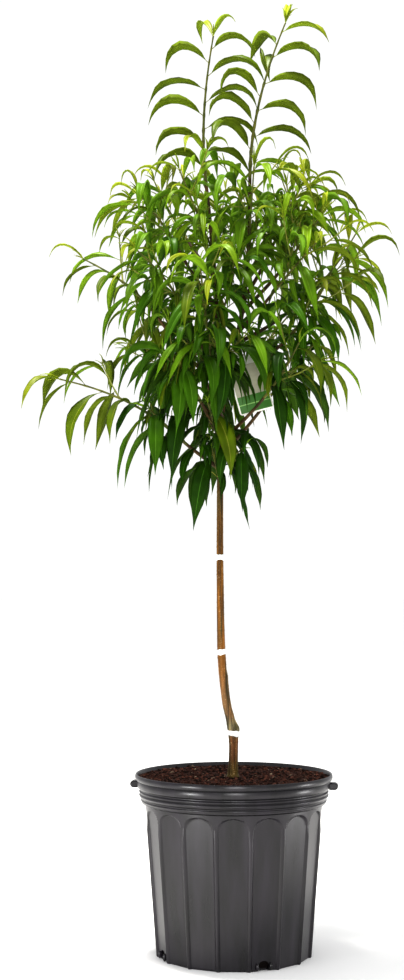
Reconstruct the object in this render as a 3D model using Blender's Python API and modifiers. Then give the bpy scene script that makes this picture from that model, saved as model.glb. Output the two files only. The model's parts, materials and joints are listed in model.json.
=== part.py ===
# A young peach tree in a black nursery pot: pot, potting mix, trunk, boughs and leafy masses.
# Metres, +Z up. The origin is the middle of the pot's flat underside and the front faces -Y.
import math
import random
from collections import namedtuple

import bmesh
import bpy
from mathutils import Matrix, Vector
from mathutils.bvhtree import BVHTree

CLEARANCE = 0.0003
UP = Vector((0.0, 0.0, 1.0))

# Pot: a thin-walled moulded tub, 16 flat arched panels under a ringed collar
POT_STEPS = 48
POT_OUTSIDE = [
    # radius and height, from the top of the lip down to the foot
    (0.1502, 0.2745), (0.1520, 0.2735), (0.1520, 0.2655), (0.1487, 0.2640), (0.1483, 0.2535),
    (0.1450, 0.2515), (0.1446, 0.2390), (0.1425, 0.2375), (0.1420, 0.2310), (0.1362, 0.2285),
    (0.1182, 0.0030), (0.1165, 0.0),
]
POT_INSIDE = [
    # radius and height, from the floor up to the lip
    (0.1130, 0.0035), (0.1327, 0.2300), (0.1452, 0.2610), (0.1490, 0.2735),
]
PANEL_COUNT = 16
PANEL_HALF_ANGLE = math.radians(10.0)
PANEL_CUTTER = (0.0500, 0.0200)
ARCH_TOP = 0.2235
ARCH_RISE = 0.018
ARCH_STEPS = 6
WALL_LEAN = math.atan2(POT_OUTSIDE[-3][0] - POT_OUTSIDE[-2][0],
                       POT_OUTSIDE[-3][1] - POT_OUTSIDE[-2][1])
# The first panel faces just left of the camera, and the notches are cut in every fourth one
PANEL_TURN = -91.5
NOTCH_BEARINGS = [-69.0, 21.0, 111.0, 201.0]
NOTCH_WIDTH = 0.0160
NOTCH_HEIGHT = 0.0150
NOTCH_DEPTH = 0.0160
NOTCH_RISE = 0.0060
NOTCH_STEPS = 5
# Two lugs with rounded ends under the lip: how far in they start, width round the pot, height
LUG_SIZE = (0.0135, 0.0180, 0.0104)
LUG_REACH = 0.1605
LUG_HEIGHT = 0.2565
LUG_BEARINGS = [-6.0, 174.0]
LUG_STEPS = 6

# Potting mix: a plug that fills the pot nearly to its lip, a little lower round the trunk
MIX_STEPS = 24
MIX_EDGE_HEIGHT = 0.2694
MIX_TOP = [(0.0180, 0.2680), (0.0500, 0.2683), (0.0950, 0.2688)]
GROUND = 0.2680

# Trunk: height above the origin, sideways drift and radius, up to the fork
TRUNK_LINE = [
    (0.2683, -0.0015, 0.0105), (0.2740, -0.0013, 0.0086), (0.2910, -0.0007, 0.0073),
    (0.3170, -0.0002, 0.0070), (0.3290, -0.0004, 0.0076), (0.3390, -0.0010, 0.0085),
    (0.3480, -0.0026, 0.0083), (0.3570, -0.0052, 0.0072), (0.3770, -0.0103, 0.0068),
    (0.4020, -0.0137, 0.0066), (0.4240, -0.0158, 0.0069), (0.4330, -0.0172, 0.0064),
    (0.4640, -0.0191, 0.0062), (0.5100, -0.0201, 0.0057), (0.6030, -0.0210, 0.0053),
    (0.6960, -0.0209, 0.0050), (0.8060, -0.0205, 0.0047), (0.9050, -0.0225, 0.0044),
]
TRUNK_POINTS = 24
TAPE_HEIGHTS = [0.3350, 0.4610, 0.6060]
TAPE_WIDTH = 0.0085
TAPE_THICKNESS = 0.0016

# Blank label: a plastic card with a loop of its own round the right-hand leader
TAG_SIZE = (0.0560, 0.0900, 0.0009)
TAG_CORNER = 0.0050
TAG_TOP = (0.0130, -0.0330, 0.9180)
TAG_YAW = -78.0
TAG_TILT = math.radians(16)
LOOP_HEIGHT = 0.9380
LOOP_HALF_WIDTH = 0.0085
LOOP_RADIUS = 0.0010
LOOP_STEPS = 14

# Limbs. Each bough leaves its parent at a height and ends where its leafy shoot takes over,
# and a limb with no bough tip is a shoot straight from its parent. Then the shoot's tip, the
# number of its side twigs, the turn of its first leaf in degrees, and the size of its leaves.
Limb = namedtuple("Limb", "parent at bough_tip shoot_tip twigs turn size")
LIMBS = {
    "leader_left": Limb("trunk", None, (-0.043, 0.018, 1.204), (-0.031, 0.016, 1.440), 0, 216, 0.92),
    "leader_right": Limb("trunk", 0.875, (0.026, -0.018, 1.200), (0.082, -0.030, 1.445), 0, 36, 0.90),
    "low_left": Limb("trunk", 0.745, (-0.094, -0.022, 0.800), (-0.268, -0.045, 0.880), 1, 40, 0.95),
    "low_right": Limb("trunk", 0.765, (0.058, -0.012, 0.858), (0.134, -0.010, 0.948), 2, 40, 0.84),
    "mid_left": Limb("trunk", 0.871, (-0.120, -0.006, 0.985), (-0.236, -0.004, 1.076), 1, 10, 0.86),
    "mid_left_front": Limb("trunk", 0.893, (-0.075, -0.042, 0.985), (-0.148, -0.085, 1.072), 3, 90, 0.9),
    "left_back": Limb("trunk", 0.812, (-0.068, 0.034, 0.880), (-0.168, 0.092, 0.955), 2, 130, 0.72),
    "mid_right": Limb("leader_right", 0.940, (0.085, 0.003, 0.990), (0.196, 0.020, 1.122), 3, 200, 1.0),
    "mid_right_front": Limb("trunk", 0.862, (0.080, -0.028, 0.942), (0.150, -0.085, 1.045), 3, 150, 0.9),
    "front_left": Limb("trunk", 0.845, (-0.035, -0.060, 0.915), (-0.052, -0.160, 1.036), 3, 70, 1.0),
    "front_right": Limb("leader_right", 0.960, (0.055, -0.060, 1.005), (0.120, -0.145, 1.070), 3, 0, 0.95),
    "front_low": Limb("trunk", 0.828, (-0.022, -0.048, 0.870), (-0.030, -0.145, 0.925), 3, 110, 1.0),
    "front_low_left": Limb("trunk", 0.795, (-0.050, -0.038, 0.845), (-0.105, -0.120, 0.905), 3, 30, 1.0),
    "front_low_right": Limb("trunk", 0.787, (0.046, -0.056, 0.850), (0.096, -0.120, 0.925), 2, 250, 1.0),
    "back_low_left": Limb("trunk", 0.838, (-0.048, 0.055, 0.905), (-0.106, 0.170, 1.000), 3, 190, 1.0),
    "back_low_right": Limb("trunk", 0.852, (0.035, 0.055, 0.925), (0.110, 0.165, 1.030), 3, 20, 1.0),
    "back_low": Limb("trunk", 0.800, (-0.014, 0.055, 0.850), (-0.005, 0.180, 0.945), 3, 80, 1.0),
    "up_left": Limb("leader_left", 1.000, (-0.085, 0.026, 1.095), (-0.152, 0.050, 1.195), 3, 140, 1.0),
    "up_left_back": Limb("leader_left", 1.050, (-0.072, 0.062, 1.120), (-0.118, 0.125, 1.205), 3, 0, 1.0),
    "up_right": Limb("leader_right", 1.010, (0.065, 0.018, 1.105), (0.104, 0.030, 1.192), 3, 210, 0.95),
    "up_right_front": Limb("leader_right", 0.990, (0.085, -0.045, 1.065), (0.136, -0.07, 1.13), 3, 100, 0.95),
    "up_right_back": Limb("leader_right", 1.04, (0.05, 0.06, 1.115), (0.088, 0.130, 1.185), 3, 300, 0.95),
    "up_left_front": Limb("leader_left", 1.090, None, (-0.084, -0.060, 1.203), 2, 160, 0.9),
    "up_front": Limb("leader_right", 1.060, None, (0.030, -0.095, 1.198), 3, 330, 1.0),
    "up_back": Limb("leader_left", 1.080, None, (-0.010, 0.115, 1.215), 2, 260, 1.0),
    "spur_left": Limb("trunk", 0.722, None, (-0.034, -0.026, 0.775), 0, 100, 1.15),
    "spur_low_left": Limb("low_left", 0.780, None, (-0.128, -0.062, 0.830), 0, 20, 1.1),
    "spur_front": Limb("trunk", 0.778, None, (-0.040, -0.070, 0.840), 0, 40, 1.1),
    "spur_back": Limb("trunk", 0.770, None, (-0.016, 0.070, 0.835), 0, 200, 1.0),
    "spur_right": Limb("trunk", 0.752, None, (0.012, -0.052, 0.770), 0, 320, 1.05),
    "front_middle": Limb("leader_left", 0.965, None, (0.008, -0.100, 1.062), 2, 50, 0.95),
}
BOUGH_RADII = (0.0033, 0.0024)
LEADER_RADII = (0.0043, 0.0030)
BOUGH_POINTS = 5
LEADER_POINTS = 8
# The share of a limb's reach, across and upward, at its curve's middle point
BOUGH_BEND = (0.60, 0.50)
LEADER_BEND = (1.05, 0.27)
SHOOT_RADII = (0.0029, 0.0019)
SHOOT_STEP = 0.045
SHOOT_START = 0.45
SHOOT_ROOM = 0.125

# Side twigs of a leafy shoot
TWIG_LENGTH = 0.085
TWIG_RADII = (0.0022, 0.0016)
TWIG_POINTS = 3
TWIG_FIRST = 0.13
TWIG_SPAN = 0.74
TWIG_OPENING = math.radians(52)
TWIG_OFFSET = 75.0
TWIG_TURN = 140.0
TWIG_JITTER = 50.0
TWIG_VARIES = (0.75, 1.15)
TWIG_SHORTENS = 0.35
TWIG_RISE = 0.25
TWIG_CURL = 0.18

# Leaves: long and narrow, folded along the rib, set in a spiral and arching down
LEAF_LENGTH = 0.128
LEAF_HALF_WIDTH = 0.0133
LEAF_STEPS = 12
LEAF_RINGS = (0, 4, 8, 12)
LEAF_STALK = 0.08
LEAF_SHAPE = (0.9, 1.3)
LEAF_PEAK = 0.2257
SHADE_FOLD = math.radians(18)
SUN_FOLD = math.radians(48)
LEAF_KEEL = 0.0018
LEAF_ROOT = 0.0006
LEAF_SPACING = 0.0260
LEADER_SPACING = 0.0215
FIRST_SHOOT_LEAF = 0.022
FIRST_TWIG_LEAF = 0.018
LEAF_TURN = 137.5
LEADER_TURN = 172.0
TWIG_LEAF_TURN = 70.0
LEAF_JITTER = 14.0
LEAF_OPENING = math.radians(62)
OPENING_VARIES = (0.85, 1.15)
SIZE_VARIES = (0.88, 1.12)
WIDTH_VARIES = (0.90, 1.10)
WIDTH_POWER = 0.6
LEAF_SWAY = 0.22
LEAF_TRIES = 9
TRY_SHRINK = 0.035
LOWEST_LEAF = 0.605

# Air that a new leaf or twig needs round it, and how much wider its test prism is drawn
AIR = 0.0009
PROBE_SWELL = 1.6
TWIG_CLEAR = 0.06

# The leaves' habit: those high up or far out reach up first, those in the shade hang at once,
# and the youngest at a shoot's tip are small and stand closest to it
CROWN_FLOOR = 0.75
CROWN_TOP = 1.27
CROWN_RADIUS = 0.20
AXIS_DRIFT = -0.010
OUTER_FROM = 0.45
OUTER_LIGHT = 0.45
YOUNG_LEAVES = 1.7
YOUNG_LOW = 0.30
YOUNG_SHRINK = 0.50
YOUNG_CLOSES = 0.45
OUTWARD_PULL = 0.45
HANG = 0.25
REACH_UP = 0.36
# How far a leaf turns down by its tip and how late it does, each by its light, then by its
# youth or for a leader, and its roll in degrees in the shade and in the sun
DROOP = (1.00, -0.08, -0.15)
DROOP_VARIES = (0.90, 1.03)
DROOP_POWER = (0.45, 0.48, 0.05)
LEAF_ROLL = (36.0, 22.0)


def unit(vector):
    return vector.normalized()


def blend(first, last, share):
    return first + (last - first) * share


def bezier(start, control, end, count):
    # Points on a quadratic curve, evenly spaced in its parameter
    points = []
    for index in range(count):
        t = index / (count - 1)
        points.append(start * (1 - t) ** 2 + control * (2 * t * (1 - t)) + end * t * t)
    return points


def smooth_through(rows, count):
    # Catmull-Rom through rows of numbers, sampled evenly over the rows
    result = []
    last = len(rows) - 1
    for index in range(count):
        place = index / (count - 1) * last
        k = min(int(place), last - 1)
        t = place - k
        before, here, there, after = (rows[min(max(j, 0), last)] for j in (k - 1, k, k + 1, k + 2))
        result.append([0.5 * (2 * b + (c - a) * t + (2 * a - 5 * b + 4 * c - d) * t * t
                              + (3 * b - a - 3 * c + d) * t ** 3)
                       for a, b, c, d in zip(before, here, there, after)])
    return result


def line_lengths(points):
    # How far along the line each point lies
    lengths = [0.0]
    for a, b in zip(points, points[1:]):
        lengths.append(lengths[-1] + (b - a).length)
    return lengths


def along(points, distance):
    # The place and direction at a distance along a line of points
    lengths = line_lengths(points)
    for k in range(len(points) - 1):
        if distance <= lengths[k + 1] or k == len(points) - 2:
            direction = unit(points[k + 1] - points[k])
            return points[k] + direction * (distance - lengths[k]), direction


def aim(axis, opening, turn_degrees):
    # A direction that leaves an axis by an opening angle, turned about it
    turn = math.radians(turn_degrees)
    spread = math.sin(opening)
    local = Vector((spread * math.cos(turn), spread * math.sin(turn), math.cos(opening)))
    return UP.rotation_difference(axis) @ local


def new_object(name, mesh, collection):
    thing = bpy.data.objects.new(name, mesh)
    collection.objects.link(thing)
    return thing


def drop_object(thing):
    mesh = thing.data
    bpy.data.objects.remove(thing)
    if mesh.users == 0 and isinstance(mesh, bpy.types.Mesh):
        bpy.data.meshes.remove(mesh)


def evaluated_mesh(thing):
    graph = bpy.context.evaluated_depsgraph_get()
    graph.update()
    return bpy.data.meshes.new_from_object(thing.evaluated_get(graph))


def weld(mesh, distance=1e-6):
    work = bmesh.new()
    work.from_mesh(mesh)
    bmesh.ops.remove_doubles(work, verts=work.verts, dist=distance)
    bmesh.ops.recalc_face_normals(work, faces=work.faces)
    work.to_mesh(mesh)
    work.free()


def tube(name, points, radii, collection, sides=6, closed=False):
    # A tapering tube with filled caps: a curve with a bevel, turned into a closed mesh
    data = bpy.data.curves.new(name, "CURVE")
    data.dimensions = "3D"
    data.use_fill_caps = True
    triangle = None
    if sides == 3:
        outline = bpy.data.curves.new("twig_section", "CURVE")
        spline = outline.splines.new("POLY")
        spline.points.add(2)
        for k, point in enumerate(spline.points):
            bearing = math.tau * k / 3
            point.co = (math.cos(bearing), math.sin(bearing), 0.0, 1.0)
        spline.use_cyclic_u = True
        triangle = new_object("twig_section", outline, collection)
        data.bevel_mode = "OBJECT"
        data.bevel_object = triangle
    else:
        data.bevel_depth = 1.0
        data.bevel_resolution = sides // 2 - 2
    spline = data.splines.new("POLY")
    spline.points.add(len(points) - 1)
    for point, place, radius in zip(spline.points, points, radii):
        point.co = (*place, 1.0)
        point.radius = radius
    spline.use_cyclic_u = closed
    curve = new_object(name + "_line", data, collection)
    mesh = evaluated_mesh(curve)
    bpy.data.objects.remove(curve)
    bpy.data.curves.remove(data)
    if triangle:
        outline = triangle.data
        bpy.data.objects.remove(triangle)
        bpy.data.curves.remove(outline)
    weld(mesh)
    mesh.name = name
    return new_object(name, mesh, collection)


def apply_boolean(thing, operation, cutter=None, collection=None, solver="EXACT"):
    boolean = thing.modifiers.new("join", "BOOLEAN")
    boolean.operation = operation
    boolean.solver = solver
    if collection:
        boolean.operand_type = "COLLECTION"
        boolean.collection = collection
    else:
        boolean.object = cutter
    mesh = evaluated_mesh(thing)
    thing.modifiers.clear()
    old = thing.data
    thing.data = mesh
    mesh.name = thing.name
    bpy.data.meshes.remove(old)


def keep_main_body(mesh):
    # Drops loose scraps and sealed hollows, so that only the body with the most faces stays
    work = bmesh.new()
    work.from_mesh(mesh)
    unseen = set(work.faces)
    bodies = []
    while unseen:
        body = [unseen.pop()]
        for face in body:
            for edge in face.edges:
                for other in edge.link_faces:
                    if other in unseen:
                        unseen.remove(other)
                        body.append(other)
        bodies.append(body)
    bodies.sort(key=len, reverse=True)
    for body in bodies[1:]:
        bmesh.ops.delete(work, geom=body, context="FACES")
    work.to_mesh(mesh)
    work.free()


def paint(name, colour, roughness):
    material = bpy.data.materials.new(name)
    material.use_nodes = True
    shader = material.node_tree.nodes["Principled BSDF"]
    shader.inputs["Base Color"].default_value = (*colour, 1.0)
    shader.inputs["Roughness"].default_value = roughness
    shader.inputs["Metallic"].default_value = 0.0
    return material


def turned(name, profile, steps, collection):
    # A profile in the XZ plane turned about Z
    work = bmesh.new()
    corners = [work.verts.new((radius, 0.0, height)) for radius, height in profile]
    for a, b in zip(corners, corners[1:]):
        work.edges.new((a, b))
    mesh = bpy.data.meshes.new(name)
    work.to_mesh(mesh)
    work.free()
    thing = new_object(name, mesh, collection)
    screw = thing.modifiers.new("turn", "SCREW")
    screw.steps = steps
    screw.render_steps = steps
    screw.use_merge_vertices = True
    screw.merge_threshold = 0.00001
    solid = evaluated_mesh(thing)
    thing.modifiers.clear()
    thing.data = solid
    bpy.data.meshes.remove(mesh)
    weld(solid)
    return thing


def flat_prism(name, outline, depth, collection):
    # A flat outline in its XY plane with a thickness, as a closed mesh
    data = bpy.data.curves.new(name, "CURVE")
    data.dimensions = "2D"
    data.fill_mode = "BOTH"
    data.extrude = depth / 2
    spline = data.splines.new("POLY")
    spline.points.add(len(outline) - 1)
    for point, (x, y) in zip(spline.points, outline):
        point.co = (x, y, 0.0, 1.0)
    spline.use_cyclic_u = True
    curve = new_object(name + "_outline", data, collection)
    mesh = evaluated_mesh(curve)
    bpy.data.objects.remove(curve)
    bpy.data.curves.remove(data)
    weld(mesh)
    return new_object(name, mesh, collection)


def lay(mesh, matrix):
    mesh.transform(matrix)
    mesh.update()


def facing(bearing_degrees, lean=0.0):
    # Stands a flat outline up: its X runs round the pot, its Y up the wall, its Z outward
    stand = Matrix.Rotation(math.pi / 2 + lean, 4, "X")
    return Matrix.Rotation(math.radians(bearing_degrees) + math.pi / 2, 4, "Z") @ stand


def inner_radius(height):
    for (r0, z0), (r1, z1) in zip(POT_INSIDE, POT_INSIDE[1:]):
        if height <= z1:
            return blend(r0, r1, (height - z0) / (z1 - z0))
    return POT_INSIDE[-1][0]


def arched_outline(half_width, bottom, top, rise, steps):
    outline = [(-half_width, bottom), (half_width, bottom)]
    for k in range(steps + 1):
        angle = math.pi * k / steps
        outline.append((half_width * math.cos(angle), top - rise + rise * math.sin(angle)))
    return outline


def make_pot(collection):
    profile = [(0.0, POT_INSIDE[0][1])] + POT_INSIDE + POT_OUTSIDE + [(0.0, 0.0)]
    pot = turned("pot", profile, POT_STEPS, collection)

    lugs = bpy.data.collections.new("pot_lugs")
    bpy.context.scene.collection.children.link(lugs)
    depth, width, height = LUG_SIZE
    for k, bearing in enumerate(LUG_BEARINGS):
        outline = [(LUG_REACH - depth, height / 2), (LUG_REACH - depth, -height / 2)]
        for step in range(LUG_STEPS + 1):
            angle = math.pi * (step / LUG_STEPS - 0.5)
            outline.append((LUG_REACH - height / 2 + height / 2 * math.cos(angle),
                            height / 2 * math.sin(angle)))
        lug = flat_prism(f"lug_{k}", outline, width, lugs)
        lay(lug.data, Matrix.Translation((0.0, 0.0, LUG_HEIGHT)) @ Matrix.Rotation(math.pi / 2, 4, "X"))
        lay(lug.data, Matrix.Rotation(math.radians(bearing), 4, "Z"))
    apply_boolean(pot, "UNION", collection=lugs)

    cutters = bpy.data.collections.new("pot_cutters")
    bpy.context.scene.collection.children.link(cutters)
    foot_radius, foot_height = POT_OUTSIDE[-2]
    reach = foot_radius * math.cos(PANEL_HALF_ANGLE)
    face = reach * math.cos(WALL_LEAN) - foot_height * math.sin(WALL_LEAN)
    top = (ARCH_TOP + face * math.sin(WALL_LEAN)) / math.cos(WALL_LEAN)
    for k in range(PANEL_COUNT):
        outline = arched_outline(PANEL_CUTTER[0] / 2, -0.012, top, ARCH_RISE, ARCH_STEPS)
        panel = flat_prism(f"panel_{k:02d}", outline, PANEL_CUTTER[1], cutters)
        lay(panel.data, Matrix.Translation((0.0, 0.0, face + PANEL_CUTTER[1] / 2)))
        lay(panel.data, facing(k * 360 / PANEL_COUNT + PANEL_TURN, WALL_LEAN))
    for k, bearing in enumerate(NOTCH_BEARINGS):
        outline = arched_outline(NOTCH_WIDTH / 2, -0.010, NOTCH_HEIGHT, NOTCH_RISE, NOTCH_STEPS)
        notch = flat_prism(f"notch_{k}", outline, NOTCH_DEPTH, cutters)
        lay(notch.data, Matrix.Translation((0.0, 0.0, reach)))
        lay(notch.data, facing(bearing))
    apply_boolean(pot, "DIFFERENCE", collection=cutters)
    for group in (lugs, cutters):
        for thing in list(group.objects):
            drop_object(thing)
        bpy.data.collections.remove(group)
    keep_main_body(pot.data)
    return pot


def make_mix(collection):
    floor = POT_INSIDE[0][1] + CLEARANCE
    heights = [MIX_EDGE_HEIGHT, POT_INSIDE[1][1], floor]
    profile = [(0.0, GROUND)] + MIX_TOP
    profile += [(inner_radius(height) - 3 * CLEARANCE, height) for height in heights]
    profile += [(0.0, floor)]
    return turned("potting_mix", profile, MIX_STEPS, collection)


def trunk_rows():
    # The line rises straight at its foot, so that the cut at the ground is level
    rows = smooth_through(TRUNK_LINE, TRUNK_POINTS)
    rows[1][1] = rows[0][1]
    return rows


Stem = namedtuple("Stem", "points radii")


def stem_at(stem, height):
    # The middle of a stem and its radius at a height
    points, radii = stem
    for k in range(len(points) - 1):
        if points[k + 1].z >= height:
            share = (height - points[k].z) / (points[k + 1].z - points[k].z)
            return points[k].lerp(points[k + 1], share), blend(radii[k], radii[k + 1], share)
    return points[-1], radii[-1]


def cut_round(thing, stem, cutters):
    # Takes a stem out of what it carries, with the gap between them
    radii = [radius + CLEARANCE * 1.3 for radius in stem.radii]
    swollen = tube("swollen_stem", stem.points, radii, cutters, 8)
    apply_boolean(thing, "DIFFERENCE", cutter=swollen)
    drop_object(swollen)
    keep_main_body(thing.data)


def make_tape(name, height, trunk, collection, cutters):
    # A snug band: a short straight length of tube that the trunk is taken out of
    ends = [stem_at(trunk, height + side * TAPE_WIDTH / 2) for side in (-1, 1)]
    widest = max(radius for place, radius in ends) + TAPE_THICKNESS
    band = tube(name, [place for place, radius in ends], [widest] * 2, collection, 10)
    cut_round(band, trunk, cutters)
    return band


def make_tag(leader, collection, cutters):
    # The card hangs by a loop that is one piece with it and clears the leader it goes round
    width, height, thickness = TAG_SIZE
    outline = []
    for k, (x, y) in enumerate(((1, 1), (-1, 1), (-1, -1), (1, -1))):
        for turn in (0, 45, 90):
            angle = math.radians(k * 90 + turn)
            outline.append((x * (width / 2 - TAG_CORNER) + TAG_CORNER * math.cos(angle),
                            y * (height / 2 - TAG_CORNER) + TAG_CORNER * math.sin(angle)))
    tag = flat_prism("tag", outline, thickness, collection)
    lay(tag.data, Matrix.Translation((0.0, -height / 2, 0.0)))
    lay(tag.data, Matrix.Rotation(TAG_TILT, 4, "Z"))
    lay(tag.data, facing(TAG_YAW))
    lay(tag.data, Matrix.Translation(TAG_TOP))

    top = Vector(TAG_TOP) - UP * LOOP_RADIUS
    bark, radius = stem_at(leader, LOOP_HEIGHT)
    away = unit(Vector((bark.x - top.x, bark.y - top.y, 0.0)))
    behind = bark + away * (radius + LOOP_RADIUS + CLEARANCE * 2)
    middle, half = (behind + top) / 2, (behind - top) / 2
    across = unit(half.cross(UP)) * LOOP_HALF_WIDTH
    ring = [middle + half * math.cos(math.tau * k / LOOP_STEPS)
            + across * math.sin(math.tau * k / LOOP_STEPS) for k in range(LOOP_STEPS)]
    loop = tube("tag_loop", ring, [LOOP_RADIUS] * LOOP_STEPS, collection, 4, closed=True)
    apply_boolean(tag, "UNION", cutter=loop)
    drop_object(loop)
    cut_round(tag, leader, cutters)
    return tag


class Crowd:
    # Everything that is already in place, for testing whether a new shape has air round it
    def __init__(self):
        self.members = []

    def add(self, owner, verts, faces):
        tree = BVHTree.FromPolygons(verts, faces)
        self.members.append((owner, self.corners(verts), tree))

    def add_object(self, owner, thing):
        verts = [vertex.co.copy() for vertex in thing.data.vertices]
        faces = [tuple(face.vertices) for face in thing.data.polygons]
        self.add(owner, verts, faces)

    @staticmethod
    def corners(verts):
        return ([min(v[i] for v in verts) for i in range(3)],
                [max(v[i] for v in verts) for i in range(3)])

    def touched_by(self, verts, faces, skip=()):
        low, high = self.corners(verts)
        tree = None
        for owner, (other_low, other_high), other in self.members:
            if owner in skip:
                continue
            if any(low[i] > other_high[i] or high[i] < other_low[i] for i in range(3)):
                continue
            tree = tree or BVHTree.FromPolygons(verts, faces)
            if tree.overlap(other):
                return True
        return False


def loft(rings):
    # Closed faces through rings of three points, with a single point at an end that closes
    verts = [point for ring in rings for point in ring]
    faces = []
    start = 0
    for ring, following in zip(rings, rings[1:]):
        a, b = len(ring), len(following)
        here = list(range(start, start + a))
        there = list(range(start + a, start + a + b))
        if a == 3 and b == 3:
            for k in range(3):
                n = (k + 1) % 3
                faces += [(here[k], here[n], there[n]), (here[k], there[n], there[k])]
        elif a == 1:
            for k in range(3):
                faces.append((here[0], there[(k + 1) % 3], there[k]))
        elif b == 1:
            for k in range(3):
                faces.append((here[k], here[(k + 1) % 3], there[0]))
        start += a
    return verts, faces


def leaf_width(t):
    # Half-width along the leaf as a share of the widest place, past the stalk
    u = max(0.0, (t - LEAF_STALK) / (1 - LEAF_STALK))
    return u ** LEAF_SHAPE[0] * (1 - u) ** LEAF_SHAPE[1] / LEAF_PEAK


Leaf = namedtuple("Leaf", "places sides tops half_width fold")


def bend_leaf(root, heading, length, half_width, droop, power, roll, sway, fold):
    # The rib's line, with the leaf's side and upper directions at each step
    side = heading.cross(UP)
    side = unit(side) if side.length > 0.01 else Vector((1.0, 0.0, 0.0))
    places, sides, tops = [root.copy()], [], []
    step = length / LEAF_STEPS
    for k in range(LEAF_STEPS + 1):
        t = k / LEAF_STEPS
        pull = droop * t ** power
        direction = unit(heading * (1 - pull) - UP * pull + side * sway * t)
        across = unit(side - direction * side.dot(direction))
        above = across.cross(direction)
        angle = math.radians(roll) * min(1.0, t * 3)
        sides.append(across * math.cos(angle) + above * math.sin(angle))
        tops.append(above * math.cos(angle) - across * math.sin(angle))
        if k < LEAF_STEPS:
            places.append(places[-1] + direction * step)
    return Leaf(places, sides, tops, half_width, fold)


def stalk_end(leaf):
    # Where the leaf has left its own twig, so that it can be tested against what is near
    return leaf.places[0].lerp(leaf.places[LEAF_RINGS[1]], 0.25)


def leaf_rings(leaf, grow=0.0):
    # Root, two three-sided rings and the tip; grow fattens it for testing the air round it
    rings = []
    for k in LEAF_RINGS:
        place, side, top = leaf.places[k], leaf.sides[k], leaf.tops[k]
        if k == 0 and grow:
            place = stalk_end(leaf)
            rings.append([place - side * grow + top * grow, place + side * grow + top * grow,
                          place - top * grow * 2])
        elif k == 0:
            rings.append([place - unit(leaf.places[1] - place) * LEAF_ROOT])
        elif k == LEAF_STEPS:
            rings.append([place + (place - leaf.places[k - 1]) * grow * 20])
        else:
            reach = leaf.half_width * leaf_width(k / LEAF_STEPS)
            out = reach * math.cos(leaf.fold) + grow * 1.5
            rise = reach * math.sin(leaf.fold) + grow / 2
            rings.append([place - side * out + top * rise, place + side * out + top * rise,
                          place - top * (LEAF_KEEL + grow)])
    return rings


def leaf_air(leaf):
    verts, faces = loft(leaf_rings(leaf, AIR))
    return verts, faces + [(0, 2, 1)]


def distance_to_line(point, points):
    best = 1e9
    for a, b in zip(points, points[1:]):
        run = b - a
        share = min(1.0, max(0.0, (point - a).dot(run) / run.length_squared))
        best = min(best, (point - a - run * share).length)
    return best


def shoot_line(start, heading, tip):
    # A shoot leaves its bough in the bough's own direction and bends to its tip
    span = (tip - start).length
    count = max(4, round(span / SHOOT_STEP) + 1)
    return bezier(start, start + heading * span * SHOOT_START, tip, count)


def taper(first, last, count):
    return [blend(first, last, k / (count - 1)) for k in range(count)]


def grow_twigs(name, limb, shoot, crowd):
    # Side twigs by rule along the shoot; one that touches a limb is skipped
    lines = [shoot]
    total = line_lengths(shoot.points)[-1]
    for k in range(limb.twigs):
        dice = random.Random(f"{name}-twig-{k}")
        share = TWIG_FIRST + TWIG_SPAN * (k + 0.5) / limb.twigs
        for attempt in range(LEAF_TRIES):
            turn = limb.turn + TWIG_OFFSET + k * TWIG_TURN
            turn += dice.uniform(-TWIG_JITTER, TWIG_JITTER)
            length = TWIG_LENGTH * dice.uniform(*TWIG_VARIES) * (1 - TWIG_SHORTENS * share)
            start, run = along(shoot.points, total * share)
            heading = unit(aim(run, TWIG_OPENING, turn) + UP * TWIG_RISE)
            end = start + heading * length + UP * length * TWIG_CURL
            line = bezier(start, start + heading * length / 2, end, TWIG_POINTS)
            width = taper(*TWIG_RADII, TWIG_POINTS)
            room = box_round(start, end, TWIG_RADII[0] + AIR)
            inside = distance_to_line(end, shoot.points) < SHOOT_ROOM
            if inside and not crowd.touched_by(*room, skip=(name,)):
                lines.append(Stem(line, width))
                break
    return lines


def box_round(start, end, radius):
    # A three-sided prism round a straight stretch, for testing the air round a twig
    run = unit(end - start)
    across = unit(run.orthogonal())
    other = run.cross(across)
    rings = []
    for place in (start, end):
        ring = []
        for k in range(3):
            turn = math.tau * k / 3
            spoke = across * math.cos(turn) + other * math.sin(turn)
            ring.append(place + spoke * radius * PROBE_SWELL)
        rings.append(ring)
    verts, faces = loft(rings)
    return verts, faces + [(0, 2, 1), (3, 4, 5)]


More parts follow.
